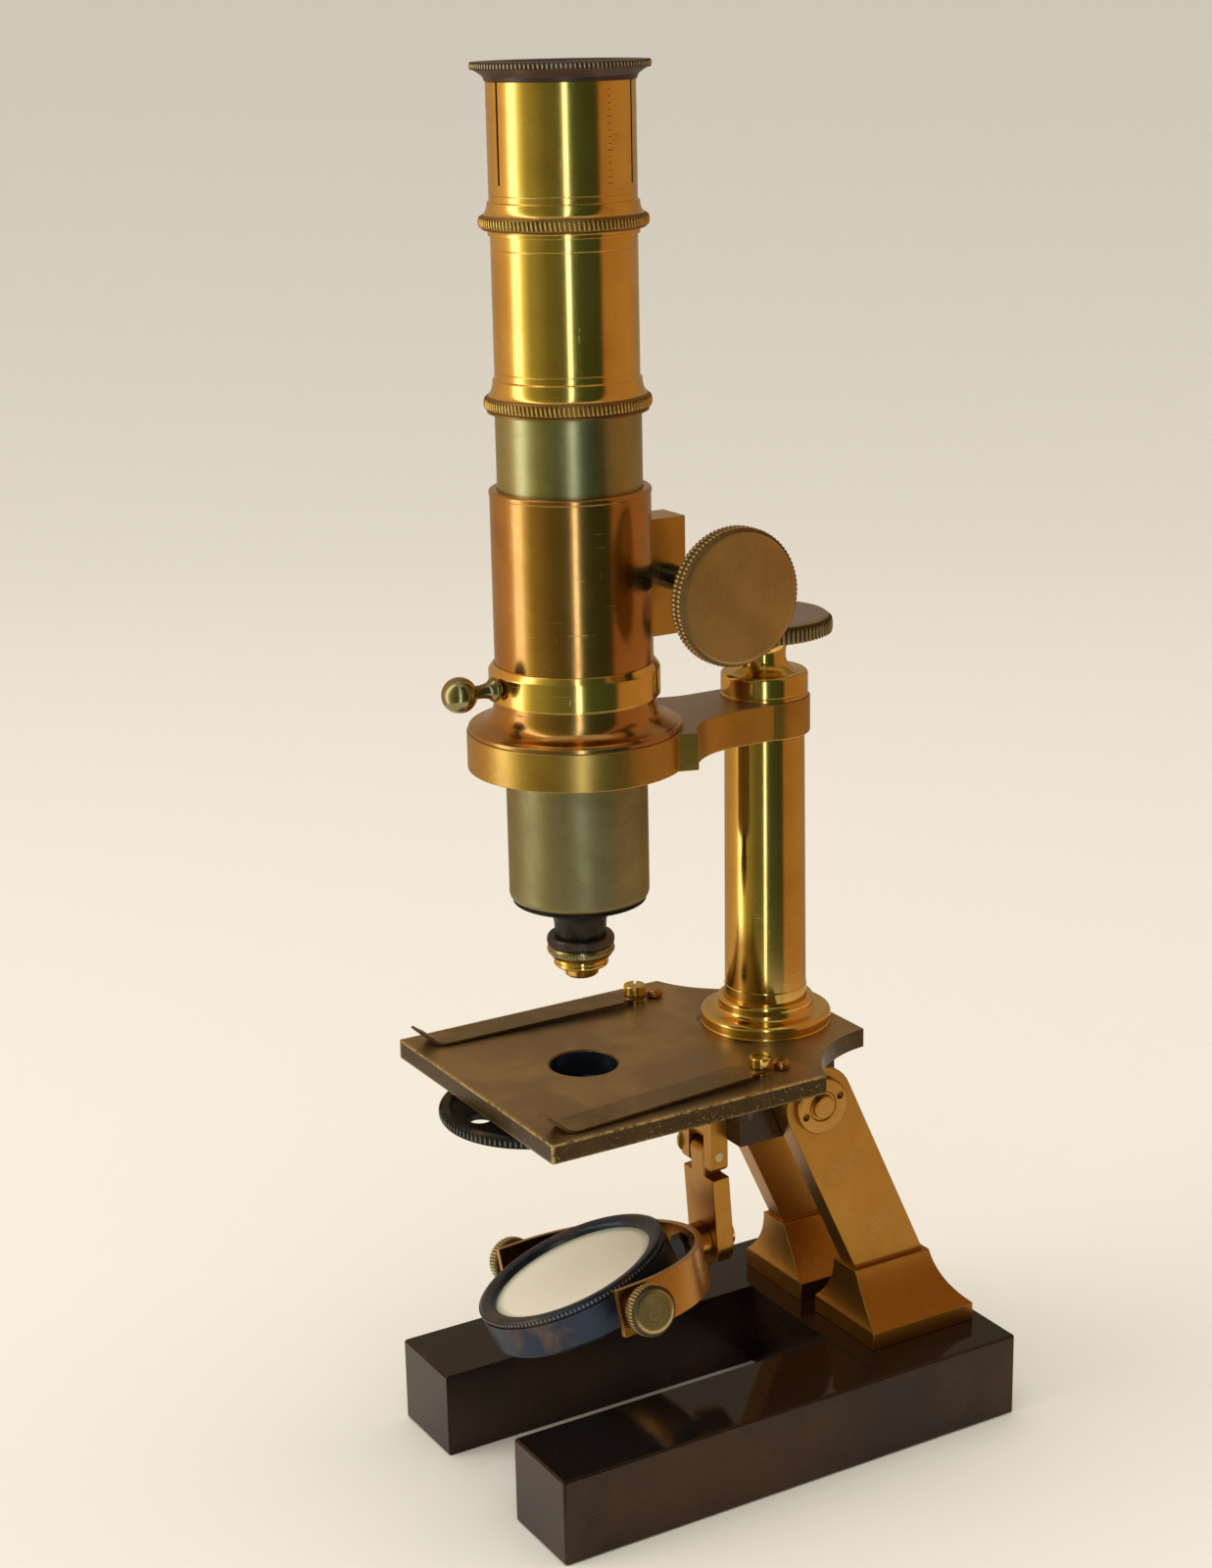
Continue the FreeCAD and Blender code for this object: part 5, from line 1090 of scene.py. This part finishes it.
def makeDrive():
    knobBrass = dict(brassLooks["armBrass"], bright=(0.60, 0.44, 0.205), deep=(0.49, 0.345, 0.15))
    housing = Place("pinion_housing")
    housingBrass = makeBrass("housing brass", brassLooks["goldLacquer"], (4.0, 0.5, 0.2), roughness=0.22, tint=0.8)
    stand(softCopy("pinionHousing", "pinion_housing", 0.25), housingBrass, "pinion_housing")
    screws = Place("housing_screws")
    places = [(x, screws.y1 - 0.3, z) for x in (screws.x0 + 1.15, screws.x1 - 1.15) for z in (screws.z0 + 1.15, screws.z1 - 1.15)]
    heads = screwHeads("housingScrews", screwSteel, places, 1.15, 0.6, 0.3, (0, 1, 0), 3)
    stand(heads, screwSteel, "housing_screws")
    stand(softCopy("pinionShaft", "pinion_shaft", 0), blued, "pinion_shaft")
    rackBrass = makeBrass("rack brass", brassLooks["oldBrass"])
    stand(softCopy("rack", "rack", 0), rackBrass, "rack")
    for side, node in ((1, "right_focus_knob"), (-1, "left_focus_knob")):
        knob = Place(node)
        outer = max(abs(knob.x0), abs(knob.x1))
        radius = (knob.z1 - knob.z0) / 2
        thick = knob.x1 - knob.x0
        rib = driveSizes["rib"]
        core = radius - rib[0]
        profile = [
            (0, 1.2), (2, 1.2), (2, 0), (5, 0, 0.3), (radius - 1.2, 0.7, 0.4), (core - 0.25, 1.3, 0.3), (core, 1.7, 0.1),
            (core, 3.1, 0.05), (core - 0.3, 3.3, 0.05), (core, 3.5, 0.05), (core, thick - 0.75, 0.25),
            (radius - 0.85, thick - 0.12, 0.25), (radius - 1.5, thick, 0.2), (0, thick),
        ]
        start = (side * (outer - thick), knob.middle.y, knob.middle.z)
        piece = spin("coarseKnob" + "LR"[side > 0], profile, start, (side, 0, 0), 144)
        grime = betweenRibs(knob.middle, (1, 0, 0), radius)
        face = makeFaceBrushed(
            "coarse knob " + "LR"[side > 0], knobBrass, knob.middle, (1, 0, 0), 0.34, False, 1.0, grime,
        )
        piece.data.materials.append(face)
        for shift in (2.35, 4.25):
            place = (side * (outer - thick + shift), knob.middle.y, knob.middle.z)
            knurl(piece, face, radius - rib[0] - 0.02, driveSizes["ribs"], (rib[0], rib[1], 0.95), place, (1, 0, 0))
        bake(piece)
        stand(piece, face, node)


# tubes and eyepiece

tubeSizes = {
    "ringRibs": 112, "ringRib": (0.46, 0.36, 1.25), "capRibs": 124, "capRib": (0.42, 0.34, 0.82),
    "slits": (-87, 37, 155), "slitWidth": 0.7, "slitDepth": 21, "marks": 15, "markStep": 1.35, "markAngle": 9,
}


def beadRing(z, r, low, high):
    # the profile of a bead that its ribs stand round
    return [(r - 0.9, z + low, 0.1), (r - 0.45, z + low + 0.35, 0.3), (r - 0.38, z + (low + high) / 2, 0.4), (r - 0.5, z + high - 0.3, 0.3)]


def makeTubes():
    size = tubeSizes
    body = Place("body_tube")
    center = body.above()
    r, z0, z1 = body.radius, body.z0, body.z1
    profile = [
        (12, z0), (r - 1.6, z0, 0), *curveTo((r - 1.6, z0), (r, z0), (r, z0 + 1.6), 8), (r, z1, 0.15), (14.9, z1, 0.15),
        (14.9, z0 + 3), (12, z0 + 3),
    ]
    jacket = Place("jacket")
    lower = makeBrass("body brass", brassLooks["drawnBrass"], grime=dullBelow(jacket.z0, 0.62))
    stand(spin("bodyTube", profile, center, segments=192), lower, "body_tube")
    ext = Place("extension_tube")
    ring, r = ext.radius, 15.8
    profile = [
        (14.25, ext.z0), (14.9, ext.z0), (14.9, z1), (ring - 0.7, z1, 0.1), (ring - 0.7, z1 + 0.55, 0.1),
        *beadRing(z1, ring, 0.6, 3.4), (ring - 0.75, z1 + 3.5, 0.1),
        *curveTo((ring - 0.9, z1 + 3.6), (r + 0.9, z1 + 3.9), (r + 0.5, z1 + 6.0), 8),
        (r + 0.45, z1 + 7.0, 0.1), (r, z1 + 7.3, 0.1), (r, z1 + 8.6, 0.06), (r - 0.14, z1 + 8.75, 0.06), (r, z1 + 8.9, 0.06),
        (r, ext.z1 - 3.0, 0.05), (r - 0.12, ext.z1 - 2.85, 0.05), (r, ext.z1 - 2.7, 0.05), (r, ext.z1 - 0.02, 0.1), (14.25, ext.z1 - 0.02, 0.1),
    ]
    piece = spin("extensionTube", profile, center, segments=192)
    grime = betweenRibs(center, (0, 0, 1), ring)
    ringed = makeBrass("ringed lacquer", brassLooks["goldLacquer"], grime=grime)
    piece.data.materials.append(ringed)
    rib = size["ringRib"]
    knurl(piece, ringed, ring - rib[0] - 0.01, size["ringRibs"], rib, center + Vector((0, 0, z1 + 2.0)), lean=9)
    bake(piece)
    stand(piece, ringed, "extension_tube")
    head = Place("draw_tube_head")
    z, top, r = head.z0, head.z1, 15.88
    profile = [
        (14.2, z), (16.3, z, 0.1), (16.3, z + 0.9, 0.1), (ring - 0.75, z + 1.3, 0.1), *beadRing(z, ring, 1.4, 4.1),
        (ring - 0.75, z + 4.2, 0.1), *curveTo((ring - 0.9, z + 4.3), (r + 0.8, z + 4.5), (r + 0.5, z + 6.1), 8),
        (r + 0.45, z + 6.9, 0.1), (r, z + 7.1, 0.1), (r, z + 8.3, 0.06), (r - 0.14, z + 8.45, 0.06), (r, z + 8.6, 0.06),
        (r, top, 0.2), (14.45, top, 0.2), (14.45, z + 5), (14.2, z + 5),
    ]
    piece = spin("drawTubeHead", profile, center, segments=192)
    slits = []
    for angle in size["slits"]:
        half = size["slitWidth"] / 2
        turn = Matrix.Rotation(math.radians(angle), 3, "Z")
        low = center + Vector((10, -half, top - size["slitDepth"]))
        slits.append((low, center + Vector((20, half, top + 2)), turn, center))
    carve(piece, slits)
    worn = makeBrass("head lacquer", dict(brassLooks["goldLacquer"], wear=0.75, stains=0.9, roughness=0.13), grime=grime)
    piece.data.materials.append(worn)
    knurl(piece, worn, ring - rib[0] - 0.01, size["ringRibs"], (rib[0], rib[1], 1.2), center + Vector((0, 0, z + 2.8)), lean=9)
    bake(piece)
    stand(piece, worn, "draw_tube_head")
    marks = newPiece("engravedScale", bpy.data.meshes.new("engravedScale"))
    ink = makeBlackened("engraved line", blackenedLooks["sootBlack"])
    tickTree.use(marks, {
        "Radius": (r + 0.005) * mm, "Bottom": (z + 11) * mm, "Step": size["markStep"] * mm, "Count": size["marks"],
        "Mark Size": (0.03 * mm, 0.8 * mm, 0.13 * mm), "Angle": math.radians(size["markAngle"]),
        "Place": tuple(center * mm), "Material": ink,
    })
    bake(marks)
    also(marks, ink, "draw_tube_head")
    tube = Place("draw_tube")
    profile = [(13.4, tube.z0), (14.2, tube.z0, 0.2), (14.2, tube.z1), (13.4, tube.z1)]
    stand(spin("drawTube", profile, center), drawn, "draw_tube")


def makeEyepiece():
    size = tubeSizes
    head = Place("draw_tube_head")
    cap = Place("eyepiece_cap")
    center = head.above()
    r, top, z = cap.radius, cap.z1, head.z1 + 0.02
    low = top - 1.8
    profile = [
        (7.6, cap.z0), (13.5, cap.z0), (13.5, z), (16.1, z, 0.1), (16.35, z + 0.8, 0.1),
        *curveTo((16.4, z + 0.9), (17.0, low - 0.7), (r - 1.1, low - 0.05), 7), (r - 0.35, low + 0.35, 0.2), (r - 0.3, top - 0.5, 0.3),
        (r - 1.0, top, 0.3), (16.0, top, 0.25), *curveTo((14.6, top - 0.6), (13.2, top - 1.5), (11.1, top - 1.65), 7),
        (5.2, top - 1.9, 0.1), (4.6, top - 2.2, 0.2), (4.6, z - 1.0), (7.6, z - 1.0),
    ]
    tips = ribTips(center, (0, 0, 1), r)
    dark = makeBlackened("cap purple brown", blackenedLooks["purpleBrown"], amount=0.8, tips=tips)
    piece = spin("eyepieceCap", profile, center, segments=192)
    piece.data.materials.append(dark)
    rib = size["capRib"]
    knurl(piece, dark, r - rib[0] - 0.01, size["capRibs"], rib, center + Vector((0, 0, (low + top) / 2 + 0.05)), lean=6)
    bake(piece)
    stand(piece, dark, "eyepiece_cap")
    barrel = Place("eyepiece_barrel")
    seat = head.z0 + 5
    profile = [
        (12.3, barrel.z0), (13.1, barrel.z0, 0.2), (13.1, seat), (14.4, seat), (14.4, z), (13.5, z), (13.5, seat + 1),
        (12.3, seat + 1),
    ]
    stand(spin("eyepieceBarrel", profile, center), drawn, "eyepiece_barrel")
    for name, node in (("eyeLens", "eye_lens"), ("fieldLens", "field_lens"), ("frontLens", "objective_front_lens")):
        lens = softCopy(name, node, 0)
        stand(lens, glass, node)


# nose and objective

noseSizes = {"discRibs": 120, "discRib": (0.22, 0.3, 0.42), "cellRibs": 64, "cellRib": (0.2, 0.28, 0.62)}


def makeNose():
    body = Place("body_tube")
    center = body.above()
    nose = Place("nose_adapter")
    upper, middle, front = (Place("objective_" + part + "_cell") for part in ("upper", "middle", "front"))
    z, low, r = body.z0, nose.z0, nose.radius
    profile = [
        (4.2, z + 3), (12, z + 3), (12, z), (r - 0.25, z, 0.1), (r - 0.2, z - 0.8, 0.15), (r - 1.2, z - 1.0, 0.1),
        *curveTo((9.6, z - 1.25), (6.1, z - 2.4), (5.95, z - 7.6), 14), (5.9, low, 0.1), (4.2, low),
    ]
    piece = spin("noseAdapter", profile, center)
    piece.data.materials.append(sootBlack)
    rib = noseSizes["discRib"]
    knurl(piece, sootBlack, r - rib[0] - 0.01, noseSizes["discRibs"], rib, center + Vector((0, 0, z - 0.45)))
    bake(piece)
    stand(piece, sootBlack, "nose_adapter")
    r, joint = upper.radius, upper.z0
    profile = [
        (3.4, low + 3), (4.2, low + 3), (4.2, low), (r - 0.5, low, 0.15), (r - 0.2, low - 0.4, 0.2), (r - 0.2, joint + 0.5, 0.2),
        (r - 0.6, joint, 0.1), (3.4, joint),
    ]
    piece = spin("objectiveUpper", profile, center)
    darkCell = makeBlackened("cell dark", blackenedLooks["purpleBrown"], amount=0.9)
    piece.data.materials.append(darkCell)
    rib = noseSizes["cellRib"]
    knurl(piece, darkCell, r - rib[0] - 0.01, noseSizes["cellRibs"], (rib[0], rib[1], 0.85), center + Vector((0, 0, (low + joint) / 2)))
    bake(piece)
    stand(piece, darkCell, "objective_upper_cell")
    r, top, joint = middle.radius, middle.z1, middle.z0
    profile = [
        (3.4, top), (r - 0.5, top, 0.15), (r - 0.25, top - 0.5, 0.2), (r - 0.25, joint + 1.0, 0.2), (r - 0.9, joint, 0.2), (3.4, joint),
    ]
    piece = spin("objectiveMiddle", profile, center)
    piece.data.materials.append(old)
    knurl(piece, old, r - rib[0] - 0.01, noseSizes["cellRibs"], (rib[0], rib[1], 0.55), center + Vector((0, 0, top - 1.0)))
    bake(piece)
    stand(piece, old, "objective_middle_cell")
    r, top, tip = front.radius, front.z1, front.z0
    profile = [
        (2.4, top), (r - 0.3, top, 0.1), (r, top - 0.5, 0.2), (r, top - 1.0, 0.1), (r - 0.25, top - 1.2, 0.1), (r, top - 1.4, 0.1),
        (r, top - 2.0, 0.2), (r - 0.5, top - 2.4, 0.2), (4.25, top - 2.7, 0.1), (3.95, tip + 0.6, 0.1), (3.3, tip, 0.25), (2.4, tip, 0.1),
    ]
    stand(spin("objectiveFront", profile, center), gold, "objective_front_cell")


# mirror

mirrorSizes = {"bezelRibs": 140, "bezelRib": (0.30, 0.30, 0.55), "screwRibs": 44, "screwRib": (0.28, 0.34, 1.75)}


def makeMirror():
    size = mirrorSizes
    swing = jointOf["mirror_arm_swing"]
    swivelAxis = Vector(jointOf["fork_swivel"]["axis"])
    tilt = jointOf["mirror_tilt"]
    screwAxis = Vector(tilt["axis"]).normalized()
    middle = Vector(tilt["pos_m"]) / mm
    glassAt = Place("mirror_glass")
    facing = (glassAt.middle - middle).normalized()
    facing = (facing - screwAxis * facing.dot(screwAxis)).normalized()
    turn = Matrix((screwAxis, facing.cross(screwAxis), facing)).transposed()
    r = 24.0
    profile = [
        (0, -5), (r - 1.2, -5, 0.3), (r - 0.35, -4.7, 0.3), (r, -4.2, 0.3), (r, 3.3, 0.1), (21.8, 3.3), (21.8, -3.6), (0, -3.6),
    ]
    cell = spin("mirrorCell", profile, middle, turn=turn, segments=160)
    reach = screwAxis * 30
    carve(cell, [], [(middle - reach, middle + reach, 1.2)])
    patina = makeBlackened("mirror ring patina", blackenedLooks["blueBlack"], amount=0.75, drop=middle.z - 11)
    stand(cell, patina, "mirror_cell")
    profile = [
        (21.7, 2.1), (21.8, 2.1), (21.8, 3.4), (r - 0.36, 3.4, 0.05), (r - 0.34, 4.6, 0.3), (r - 1.0, 5.0, 0.3), (r - 2.0, 5.0, 0.3),
        *curveTo((r - 2.4, 4.9), (r - 3.4, 4.8), (r - 3.9, 4.1), 6), (20.0, 3.2, 0.05), (21.7, 3.2),
    ]
    bezel = spin("mirrorBezel", profile, middle, turn=turn, segments=192)
    tips = ribTips(middle, facing, r, 0.2)
    toothed = makeBlackened("bezel patina", blackenedLooks["blueBlack"], amount=0.6, tips=tips)
    bezel.data.materials.append(toothed)
    rib = size["bezelRib"]
    knurl(bezel, toothed, r - rib[0] - 0.01, size["bezelRibs"], rib, middle + facing * 4.15, turn=turn)
    bake(bezel)
    stand(bezel, toothed, "mirror_bezel")
    profile = [(0, 0.7), (20.6, 0.7, 0.2), (20.6, 3.15, 0.5), (0, 3.2)]
    pane = spin("mirrorGlass", profile, middle, turn=turn)
    # the cream mirror colour is a painted reflection of a pale ceiling
    stand(pane, makeMirrorGlass("cream mirror", middle, 20.2), "mirror_glass")
    stand(softCopy("mirrorSeat", "mirror_seat_ring", 0), patina, "mirror_seat_ring")
    stripBrass = makeBrass("fork strip", brassLooks["satinBrass"], (0.3, 0.3, 4.5), roughness=0.23, tint=1.1)
    stand(softCopy("mirrorFork", "mirror_fork", 0.2, 2), stripBrass, "mirror_fork")
    stand(softCopy("forkStud", "fork_pivot_stud", 0), blued, "fork_pivot_stud")
    stand(softCopy("forkNut", "fork_pivot_nut", 0.2, 2), gold, "fork_pivot_nut")
    made = []
    across = swivelAxis.cross(screwAxis)
    for side in (1, -1):
        out = screwAxis * side
        profile = [
            (0, 22.3), (1.1, 22.3), (1.1, 28.3), (1.6, 28.3), (1.6, 31), (3.2, 31), (3.2, 32.6, 0.3), (2.6, 33.0, 0.1), (5.4, 33.0, 0.3),
            (5.68, 33.6, 0.2), (5.68, 36.4, 0.3), (5.3, 36.95, 0.3), (4.4, 37.2, 0.2), (0, 37.2),
        ]
        screw = spin("screw", profile, middle, tuple(out), 96)
        knurl(screw, old, 6.0 - size["screwRib"][0] - 0.01, size["screwRibs"], size["screwRib"], middle + out * 35.05, tuple(out))
        made.append(bake(screw))
    face = makeFaceBrushed(
        "mirror screw face", brassLooks["oldBrass"], middle, screwAxis, 0.2, True, 1.25,
        betweenRibs(middle, screwAxis, 6.0), depth=0.02,
    )
    stand(joined("mirrorScrews", made), face, "mirror_screws")
    hangBrass = makeBrass("mirror arm brass", brassLooks["satinBrass"], roughness=0.27)
    stand(softCopy("mirrorArm", "mirror_arm", 0.3), hangBrass, "mirror_arm")
    stand(softCopy("mirrorBracket", "mirror_bracket", 0.25), satin, "mirror_bracket")
    stand(softCopy("mirrorPivot", "mirror_pivot_screw", 0.15, 2), old, "mirror_pivot_screw")
    stand(softCopy("bracketScrews", "bracket_screws", 0), screwSteel, "bracket_screws")


# floor and surroundings

surroundings = {"floor": (0.78, 0.75, 0.70), "flat": 1.1, "wall": 3.6, "rise": 2.9, "sky": (1.0, 0.96, 0.90), "strength": 0.62}

# the cards round the object that its metal mirrors: bearing to the right of the camera, colour
cards = {
    "distance": 0.31,
    "height": 0.95,
    "colors": [
        (-180, (0.36, 0.29, 0.21)), (-125, (0.52, 0.36, 0.20)), (-98, (0.74, 0.49, 0.26)), (-88, (1.0, 0.80, 0.42)),
        (-83, (2.4, 2.5, 2.5)), (-73, (2.4, 2.5, 2.5)), (-67, (1.0, 1.0, 0.42)), (-57, (0.40, 0.38, 0.15)),
        (-30, (0.17, 0.165, 0.065)), (-9, (0.11, 0.125, 0.05)), (-2.5, (0.14, 0.18, 0.09)), (-0.5, (4.2, 4.8, 5.6)),
        (2.0, (4.2, 4.8, 5.6)), (4.0, (0.10, 0.17, 0.08)), (16, (0.055, 0.085, 0.038)), (50, (0.042, 0.055, 0.027)),
        (56, (0.40, 0.215, 0.088)), (110, (0.46, 0.26, 0.11)), (148, (0.33, 0.235, 0.15)), (180, (0.36, 0.29, 0.21)),
    ],
}


def makeFloor():
    # a level floor that sweeps up into a wall all round
    flat, wall, rise = (surroundings[key] for key in ("flat", "wall", "rise"))
    points = [(0, 0), (flat * 0.5, 0), (flat, 0)]
    points += [(flat + (wall - flat) * math.sin(a), (wall - flat) * (1 - math.cos(a))) for a in (math.pi * k / 64 for k in range(1, 33))]
    points += [(wall, rise)]
    form = bmesh.new()
    line = [form.verts.new((radius, 0, height)) for radius, height in points]
    edges = [form.edges.new(pair) for pair in zip(line, line[1:])]
    bmesh.ops.spin(form, geom=line + edges, cent=(0, 0, 0), axis=(0, 0, 1), angle=2 * math.pi, steps=96, use_merge=True)
    bmesh.ops.remove_doubles(form, verts=form.verts, dist=1e-5)
    bmesh.ops.recalc_face_normals(form, faces=form.faces)
    mesh = bpy.data.meshes.new("floor")
    form.to_mesh(mesh)
    form.free()
    smooth(mesh, 60)
    floor = newPiece("floor", mesh)
    shader = Shader("pale floor")
    floor.data.materials.append(shader.finish(surroundings["floor"], 0.8, 0.0, constants={"Specular IOR Level": 0.0}))


def makeCards():
    # a ring of coloured cards that only shows in reflections
    form = bmesh.new()
    radius, height = cards["distance"], cards["height"]
    corners = [bearingTo(degrees) * radius for degrees in range(0, 360, 3)]
    low = [form.verts.new(corner) for corner in corners]
    high = [form.verts.new(corner + Vector((0, 0, height))) for corner in corners]
    for k in range(len(low)):
        form.faces.new((low[k], low[k - 1], high[k - 1], high[k]))
    mesh = bpy.data.meshes.new("cards")
    form.to_mesh(mesh)
    form.free()
    ring = newPiece("cards", mesh)
    shader = Shader("cards")
    x, y, z = shader.split(shader.coordinates())
    ahead, right = bearingTo(0), bearingTo(90)
    bearing = (x * right.x + y * right.y).maths("ARCTAN2", x * right.x + y * right.y, x * ahead.x + y * ahead.y)
    share = bearing / (2 * math.pi) + 0.5
    stops = [(degrees / 360 + 0.5, color) for degrees, color in cards["colors"]]
    color = shader.node("ShaderNodeValToRGB", {"stops": stops}, {"Fac": share})
    ring.data.materials.append(shader.finish((0, 0, 0), 1.0, 0.0, constants={
        "Emission Color": color, "Emission Strength": 1.0, "Specular IOR Level": 0.0,
    }))
    ring.visible_camera = False
    ring.visible_diffuse = False
    ring.visible_transmission = False
    ring.visible_shadow = False


def makeWorld():
    world = bpy.data.worlds.new("studio")
    bpy.context.scene.world = world
    world.use_nodes = True
    sky = world.node_tree.nodes["Background"]
    sky.inputs["Color"].default_value = (*surroundings["sky"], 1)
    sky.inputs["Strength"].default_value = surroundings["strength"]
    bpy.context.scene.view_settings.view_transform = "Standard"


makeCamera()
makeLamps()
makeFloor()
makeCards()
makeWorld()
print("studio ready")
makeFoot()
makeUprights()
print("foot and uprights ready")
makeStage()
makeDiaphragm()
print("stage ready")
makePillar()
makeArm()
makeDrive()
print("limb ready")
makeTubes()
makeEyepiece()
makeNose()
print("optics ready")
makeMirror()
print("mirror ready")
